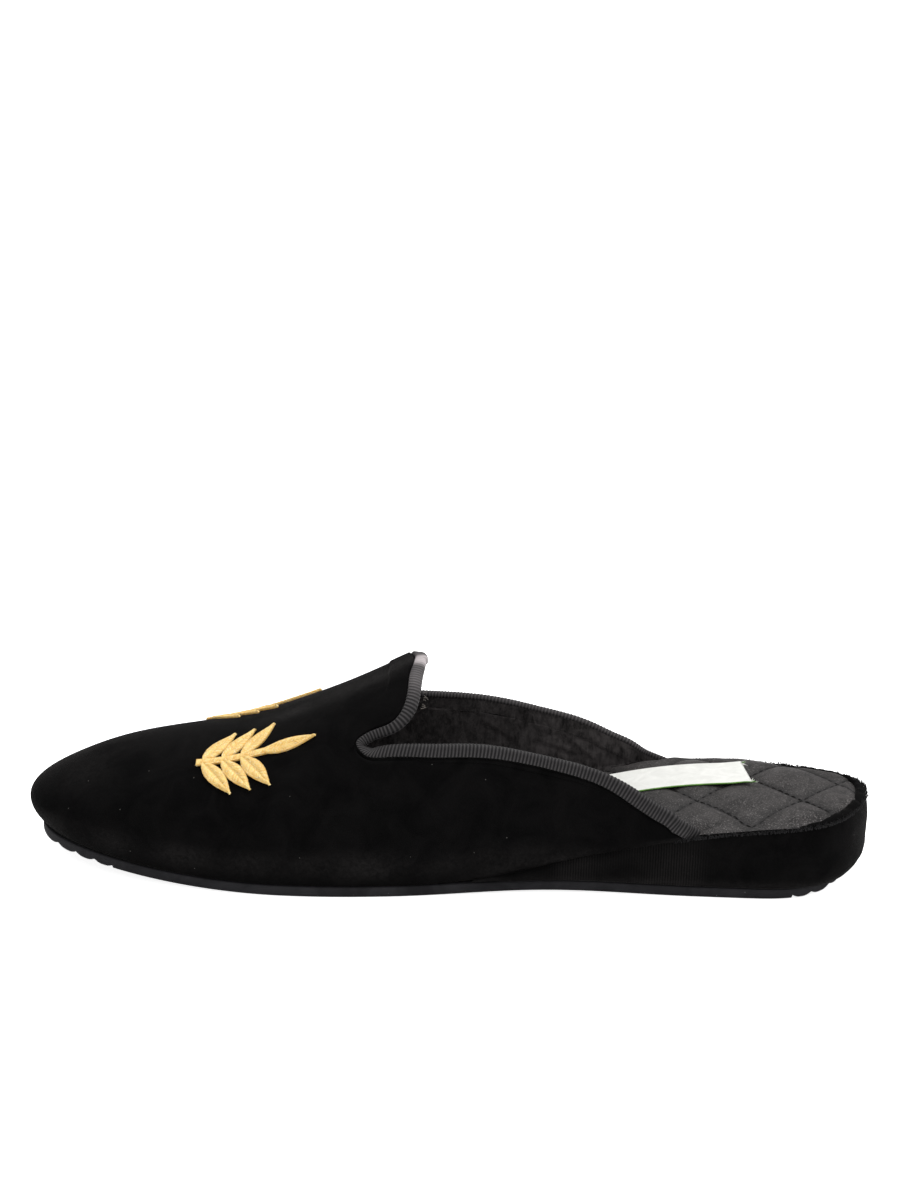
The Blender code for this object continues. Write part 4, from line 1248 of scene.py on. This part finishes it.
def make_pile_fringe(fibre):
    """Pile standing up along the seam between the wedge's velvet and the sock."""
    rng = np.random.default_rng(71)
    front = float(turn_at(PILE_FROM))
    turns = rng.uniform(front, 2 * math.pi - front, PILE_COUNT)
    side = np.where(turns <= math.pi, -1, 1)
    turns = np.minimum(np.where(turns <= math.pi, turns, 2 * math.pi - turns), math.pi - 1e-3)
    x, y = np.array([inner_line(t, s, rng.uniform(0.2, 1.7) * MM) for t, s in zip(turns, side)]).T
    inner_x, inner_y = np.array([inner_line(t, s, 6 * MM) for t, s in zip(turns, side)]).T
    foot = np.stack([x, y, base_height(LENGTH * along_at(turns), side) + 0.1 * MM], axis=1)
    lean = unit(np.stack([inner_x - x, inner_y - y, np.zeros(PILE_COUNT)], axis=1))
    sway = rng.normal(0, 0.5, (PILE_COUNT, 3)) * [1, 1, 0.2]
    tall = rng.uniform(*PILE_TALL, PILE_COUNT)[:, None] * MM
    paths = []
    for share in (0.0, 0.5, 1.0):
        bend = 0.5 * lean * rng.uniform(-0.6, 1.2) + sway
        paths.append(foot + tall * (share * np.array([0, 0, 1.0]) + share**2 * bend))
    points, faces = tubes(np.stack(paths, axis=1), PILE_RADII, sides=4)
    return make_piece("seam_pile", points, faces, [fibre], slot="velvet")


# The outsole

SOLE_EDGE = (
    # inset in mm, height as a share of the edge
    (1.5, 0.0),
    (0.7, 0.02),
    (0.25, 0.10),
    (0.0, 0.28),
    (0.05, 0.5),
    (0.02, 0.72),
    (0.08, 0.9),
    (0.3, 1.0),
    (1.2, 1.0),
)
# Turns round the outline and how many steps lie between them
SOLE_TURNS = ((0.02, 0.66, 130), (0.66, math.pi - 0.6, 120), (math.pi - 0.6, math.pi - 0.02, 110))


def tread_rise(x):
    from_tip, from_end = x - TOE_INSET, LENGTH - HEEL_INSET - x
    rise = np.zeros_like(x)
    for place, treads in ((from_tip, TOE_TREADS), (from_end, HEEL_TREADS)):
        groove = TREAD_DEPTH * (1 - np.abs(np.sin(np.pi * place / TREAD_PITCH))) ** 1.5
        rise = np.where(place < treads * TREAD_PITCH, groove, rise)
    return rise


def make_outsole(rubber):
    sole_length = LENGTH - TOE_INSET - HEEL_INSET
    turns = np.unique(np.concatenate([np.linspace(*part) for part in SOLE_TURNS]))
    x = TOE_INSET + sole_length * along_at(turns)
    width = BALL_WIDTH - 2 * SIDE_INSET
    medial, lateral = width * outline(-turns), width * outline(turns)
    bottom = ground_rise(x / LENGTH) + tread_rise(x)
    top = sole_top(x)
    half = (lateral - medial) / 2
    columns = []
    for edge, way, profile in ((lateral, -1, SOLE_EDGE), (medial, 1, SOLE_EDGE[::-1])):
        for inset, share in profile:
            y = edge + way * np.minimum(inset * MM, half * 0.6)
            columns.append(np.stack([x, y, bottom + (top - bottom) * share], axis=1))
    for share in np.linspace(0.1, 0.9, 7):
        columns.append(np.stack([x, medial + 2 * half * share, bottom], axis=1))
    return make_piece(
        "outsole_rubber", *capped(np.stack(columns, axis=1), flipped=True), [rubber],
        slot="rubber", node="outsole",
    )


# Embroidery

LEAF_PITCH = 0.36 * MM
STEM_PITCH = 0.38 * MM
GOLD_RADIUS = 0.21 * MM
STITCH_POINTS = 6
TUBE_SIDES = 6
SIDE_RIBS, SIDE_CLIMBS = 160, 120


class UpperSide:
    """Lays flat designs on one side of the upper: x along the shoe and a distance from the ridge."""

    def __init__(self, side):
        self.side = side
        self.turns = np.linspace(0.1, 0.5, SIDE_RIBS) * math.pi
        self.climbs = np.linspace(1, 0, SIDE_CLIMBS)
        self.lengths = []
        for turn in self.turns:
            rib = upper_point(turn, side, self.climbs)
            steps = np.linalg.norm(np.diff(rib, axis=0, prepend=rib[:1]), axis=1)
            self.lengths.append(np.cumsum(steps))

    def __call__(self, x, aside, rise):
        table = np.array([np.interp(aside, row, self.climbs) for row in self.lengths])
        along = upper_point(self.turns[:, None], self.side, table)[..., 0]
        turn = np.array([np.interp(x[i], along[:, i], self.turns) for i in range(len(x))])
        climb = np.array([np.interp(turn[i], self.turns, table[:, i]) for i in range(len(x))])
        normal = upper_normal(turn, self.side, climb)
        return upper_point(turn, self.side, climb) + normal * np.asarray(rise)[:, None]


def leaf_threads(base, angle, length, width, pitch):
    """Satin stitches of one leaf: each half is sewn slanting from the midrib to the edge."""
    threads = []
    turn = np.array([[math.cos(angle), -math.sin(angle)], [math.sin(angle), math.cos(angle)]])
    for hand in (-1, 1):
        for place in np.arange(pitch, length * 0.97, pitch):
            end = min(place + 0.12 * length, length)
            half = width / 2 * math.sin(math.pi * (end / length) ** 0.85)
            start = np.array([place, -hand * 0.12 * MM])
            edge = np.array([end, hand * max(half, 0.15 * MM)])
            share = np.linspace(0, 1, STITCH_POINTS)[:, None]
            threads.append((start + (edge - start) * share) @ turn.T + base)
    return threads


def sprig_threads():
    start = -SPRIG_LENGTH / 2
    tip_base = SPRIG_LENGTH / 2 - LEAF_LENGTH
    threads = leaf_threads(np.array([tip_base, 0.0]), 0.0, LEAF_LENGTH, LEAF_WIDTH, LEAF_PITCH)
    first = start + LEAF_WIDTH / 3
    spacing = (tip_base - first) / LEAF_PAIRS
    for pair in range(LEAF_PAIRS):
        for hand in (-1, 1):
            base = np.array([first + spacing * pair, 0.0])
            threads += leaf_threads(base, hand * LEAF_ANGLE, LEAF_LENGTH, LEAF_WIDTH, LEAF_PITCH)
    for place in np.arange(start, tip_base + LEAF_LENGTH / 5, STEM_PITCH):
        share = np.linspace(0, 1, STITCH_POINTS)[:, None]
        low = np.array([place, -STEM_WIDTH / 2])
        threads.append(low + (np.array([place + 0.7 * MM, STEM_WIDTH / 2]) - low) * share)
    return np.array(threads)


def make_sprig(name, side, gold):
    threads = sprig_threads()
    rng = np.random.default_rng(81 + side)
    count = len(threads)
    threads = threads + rng.normal(0, 0.04 * MM, (count, 1, 2))
    flat = threads.reshape(-1, 2)
    arch = np.tile(np.sin(np.linspace(0.12, np.pi - 0.12, STITCH_POINTS)), count)
    uneven = np.repeat(rng.normal(0, 0.03, count), STITCH_POINTS) * MM
    rise = CLEARANCE + EMBROIDERY_HEIGHT * (0.35 + 0.85 * arch) + uneven
    stem = SPRIG_MEDIAL if side < 0 else SPRIG_LATERAL
    place = UpperSide(side)(SPRIG_ALONG * LENGTH + flat[:, 0], stem + flat[:, 1] * side, rise)
    points, faces = tubes(place.reshape(count, STITCH_POINTS, 3), GOLD_RADIUS, sides=TUBE_SIDES)
    tone = np.repeat(rng.uniform(0, 1, count), STITCH_POINTS * TUBE_SIDES)
    return make_piece(name, points, faces, [gold], measures={"tone": tone}, slot="gold_thread")


# Tape, loose threads

TAPE_ROWS, TAPE_COLUMNS = 61, 34
TAPE_THICKNESS = 0.3 * MM
# How many threads fray at the end's two corners, and how their tubes are built
FRAY_LEFT, FRAY_RIGHT = 16, 12
FRAY_POINTS, FRAY_SIDES = 4, 5
FRAY_FACES = (FRAY_POINTS - 1) * FRAY_SIDES
# Distances in mm from the top of the tongue, along the seam
LOOSE_PLACES = (13.5, 14.2, 15.0, 15.6, 16.8, 17.4, 18.0, 18.3)


def make_tape(sock_top, white, green):
    """Blank tape lying over the puffs, with a coloured selvedge and a frayed, lifting end."""
    along, across = (np.linspace(-0.5, 0.5, count) for count in (TAPE_ROWS, TAPE_COLUMNS))
    a, b = (grid.ravel() for grid in np.meshgrid(along, across, indexing="ij"))
    end = smooth_step(a, 0.36, 0.5)
    skew = smooth_step(a, 0.0, 0.5) * (0.5 - b) * 3.2 * MM
    tooth = smooth_step(a, 0.47, 0.5) * 0.5 * MM * np.abs(np.sin(b * 55 + 1))
    flare = 1 + 0.05 * smooth_step(a, 0.47, 0.5)
    out, aside = a * TAPE_LENGTH + skew - 1.6 * MM + tooth, b * TAPE_WIDTH * flare
    x = TAPE_ALONG * LENGTH + out * math.cos(TAPE_TURN) - aside * math.sin(TAPE_TURN)
    y = TAPE_ASIDE + out * math.sin(TAPE_TURN) + aside * math.cos(TAPE_TURN)
    height = sock_top(x, y).reshape(TAPE_ROWS, TAPE_COLUMNS)
    polynomial = np.polynomial.polynomial
    bed = polynomial.polyval(along, polynomial.polyfit(along, height, 2)).T
    bed = np.stack([np.polyval(np.polyfit(across, row, 2), across) for row in bed])
    bed = bed + max(0.0, float((height - bed).max())) * 0.55
    points = np.stack([x, y, bed.ravel()], axis=1)
    corner = end * np.abs(2 * b) ** 4
    points[:, 2] += (0.15 + 0.1 * end + 0.4 * corner) * MM + 0.05 * MM * ripple(points, 10 * MM, 91)
    outer = points + [0, 0, TAPE_THICKNESS]
    everything, front, back, strips = thick_shell(outer, points, grid_faces(TAPE_ROWS, TAPE_COLUMNS))
    all_faces = np.concatenate([front, back, strips])
    column_of = (np.arange(2 * TAPE_ROWS * TAPE_COLUMNS) % TAPE_COLUMNS)[all_faces].min(axis=1)
    make_piece(
        "blank_woven_tape", everything, all_faces.tolist(), [white, green], column_of < 1,
        slot="white_tape", node="woven_tape",
    )
    rng = np.random.default_rng(92)
    last = outer.reshape(TAPE_ROWS, TAPE_COLUMNS, 3)[-1]
    left = rng.integers(0, 5, FRAY_LEFT)
    right = rng.integers(TAPE_COLUMNS - 5, TAPE_COLUMNS, FRAY_RIGHT)
    roots = last[np.concatenate([left, right])]
    away = np.array([math.cos(TAPE_TURN), math.sin(TAPE_TURN), 0.1])
    ways = unit(away + rng.normal(0, 0.5, (len(roots), 3)) * [1, 1, 0.5])
    reach = rng.uniform(0.5, 1.4, len(roots))[:, None, None] * MM
    bends = rng.normal(0, 0.25, (len(roots), 1, 3))
    share = np.linspace(0, 1, FRAY_POINTS)[None, :, None]
    paths = roots[:, None] + reach * (ways[:, None] * share + bends * share**2)
    tube_points, tube_faces = tubes(paths, 0.09 * MM, sides=FRAY_SIDES)
    thread_of = np.minimum(np.arange(len(tube_faces)) // FRAY_FACES, len(roots) - 1)
    make_piece(
        "tape_fray", tube_points, tube_faces, [white, green], thread_of % 4 == 1, slot="white_tape"
    )


def make_loose_threads(thread):
    """A few frayed ends where the binding turns off the tongue."""
    rng = np.random.default_rng(95)
    points, _, normals, inward, even, lie = binding_path(0.2 * MM)
    paths = []
    for distance in LOOSE_PLACES:
        spot = int((even[-1] / 2 - distance * MM) / even[1])
        across, rise = curled(4.9 * MM, -0.3 * MM, lie[0][spot])
        root = points[spot] + inward[spot] * across + normals[spot] * rise
        way = unit(np.array([0.9, 0.1, -0.2]) + rng.normal(0, 0.35, 3))
        bend = rng.normal(0, 0.18, 3)
        reach = rng.uniform(0.8, 1.7) * MM
        paths.append([root + reach * (way * s + bend * s * s) for s in np.linspace(0, 1, 6)])
    tube_points, faces = tubes(np.array(paths), 0.07 * MM, sides=5)
    return make_piece("loose_threads", tube_points, faces, [thread], slot="grosgrain")


# Floor, light and camera

FLOOR_SIZE = 6.0
FLOOR_GLOW = {"hidden": 0.1, "seen": 0.85}
SKY_GLOW = {"hidden": 0.42, "seen": 1.0}
LAMPS = (
    # name, place and aim in metres, width and height, power in watts
    ("softbox above", (0.15, 0.35, 1.3), (0, 0, 0), (1.2, 0.9), 14),
    ("softbox heel", (1.1, -0.1, 0.7), (0, 0, 0.02), (0.8, 0.8), 7),
    ("softbox front", (-0.5, -1.3, 0.8), (0, 0, 0.02), (0.9, 0.7), 4),
)


def glow_strength(tree, glow, socket):
    """Lets the camera see a white brighter than the light that it sends out."""
    seen = add_node(tree, "ShaderNodeLightPath").outputs["Is Camera Ray"]
    strength = add_node(tree, "ShaderNodeMapRange", {0: seen, 3: glow["hidden"], 4: glow["seen"]})
    tree.links.new(strength.outputs[0], socket)


def make_floor():
    mesh = bpy.data.meshes.new("floor")
    corners = [(-1, -1), (1, -1), (1, 1), (-1, 1)]
    mesh.from_pydata([(x * FLOOR_SIZE, y * FLOOR_SIZE, 0) for x, y in corners], [], [(0, 1, 2, 3)])
    floor = bpy.data.objects.new("floor", mesh)
    bpy.context.scene.collection.objects.link(floor)
    material = bpy.data.materials.new("White floor")
    material.use_nodes = True
    shader = material.node_tree.nodes["Principled BSDF"]
    shader.inputs["Base Color"].default_value = (0.9, 0.9, 0.9, 1)
    shader.inputs["Roughness"].default_value = 0.9
    shader.inputs["Specular IOR Level"].default_value = 0.1
    shader.inputs["Emission Color"].default_value = (1, 1, 1, 1)
    glow_strength(material.node_tree, FLOOR_GLOW, shader.inputs["Emission Strength"])
    mesh.materials.append(material)
    floor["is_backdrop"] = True


def make_light(name, place, aim, size, power):
    data = bpy.data.lights.new(name, "AREA")
    data.shape = "RECTANGLE"
    data.size, data.size_y = size
    data.energy = power
    lamp = bpy.data.objects.new(name, data)
    lamp.location = place
    direction = np.array(aim) - np.array(place)
    flat = math.hypot(direction[0], direction[1])
    lamp.rotation_euler = (math.atan2(flat, -direction[2]), 0, math.atan2(-direction[0], direction[1]))
    bpy.context.scene.collection.objects.link(lamp)


def make_lights():
    world = bpy.data.worlds.new("White studio")
    world.use_nodes = True
    background = world.node_tree.nodes["Background"]
    background.inputs["Color"].default_value = (1, 1, 1, 1)
    glow_strength(world.node_tree, SKY_GLOW, background.inputs["Strength"])
    bpy.context.scene.world = world
    for lamp in LAMPS:
        make_light(*lamp)


# The photograph's viewpoint
VIEW_DISTANCE = 1.1
VIEW_ELEVATION = math.radians(20)
VIEW_ROLL = math.radians(2.0)
VIEW_ASIDE = -1.9 * MM
VIEW_HEIGHT = 23.5 * MM
LENS = 109.2
SENSOR = 36.0
IMAGE_HEIGHT = 1200
BELOW_MIDDLE = 181.5


def make_camera():
    data = bpy.data.cameras.new("camera")
    data.lens, data.sensor_width = LENS, SENSOR
    data.clip_start, data.clip_end = 0.05, 50
    camera = bpy.data.objects.new("camera", data)
    bpy.context.scene.collection.objects.link(camera)
    pixels = LENS / SENSOR * IMAGE_HEIGHT
    pitch = VIEW_ELEVATION - math.atan(BELOW_MIDDLE / pixels)
    camera.location = (
        VIEW_ASIDE,
        -VIEW_DISTANCE * math.cos(VIEW_ELEVATION),
        VIEW_HEIGHT + VIEW_DISTANCE * math.sin(VIEW_ELEVATION),
    )
    tilt = math.pi / 2 - pitch
    right = np.array([1.0, 0, 0])
    up = np.array([0, math.cos(tilt), math.sin(tilt)])
    back = np.cross(right, up)
    x_axis = math.cos(VIEW_ROLL) * right + math.sin(VIEW_ROLL) * up
    y_axis = math.cos(VIEW_ROLL) * up - math.sin(VIEW_ROLL) * right
    camera.rotation_mode = "QUATERNION"
    axes = Matrix(np.stack([x_axis, y_axis, back], axis=1).tolist())
    camera.rotation_quaternion = axes.to_quaternion()
    bpy.context.scene.camera = camera


def main():
    make_camera()
    make_lights()
    make_floor()
    bpy.context.scene.view_settings.view_transform = "Standard"
    bpy.context.scene.view_settings.look = "None"

    velvet, lining, satin = velvet_material(), lining_material(), satin_material()
    grosgrain, rubber, gold = grosgrain_material(), rubber_material(), gold_material()
    white = tape_material("White woven tape", (0.80, 0.80, 0.765), (0.70, 0.70, 0.665))
    green = tape_material("Green selvedge", (0.17, 0.37, 0.07), (0.09, 0.22, 0.04))
    dark_thread = thread_material("Black thread", (0.004, 0.004, 0.004), (0.014, 0.013, 0.013), 0.6)
    pile = thread_material("Velvet pile", (0.004, 0.004, 0.0045), (0.022, 0.021, 0.022), 0.75)
    frayed = thread_material("Frayed thread", (0.10, 0.09, 0.08), (0.3, 0.27, 0.24), 0.6)

    make_upper(velvet, lining)
    make_binding(grosgrain, velvet, lining)
    make_sock(satin)
    sock_top = SockTop()
    make_quilt_stitches(sock_top, dark_thread)
    make_wedge(velvet)
    make_pile_fringe(pile)
    make_outsole(rubber)
    make_tape(sock_top, white, green)
    make_loose_threads(frayed)
    for name, side in (("sprig_medial", -1), ("sprig_lateral", 1)):
        make_sprig(name + "_threads", side, gold)
        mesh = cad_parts[name].data
        mesh.materials.clear()
        mesh.materials.append(gold)

    boxes = {"cad": CAD_BOX, "scene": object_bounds()}
    boxes = {key: [[float(v) for v in corner] for corner in box] for key, box in boxes.items()}


main()
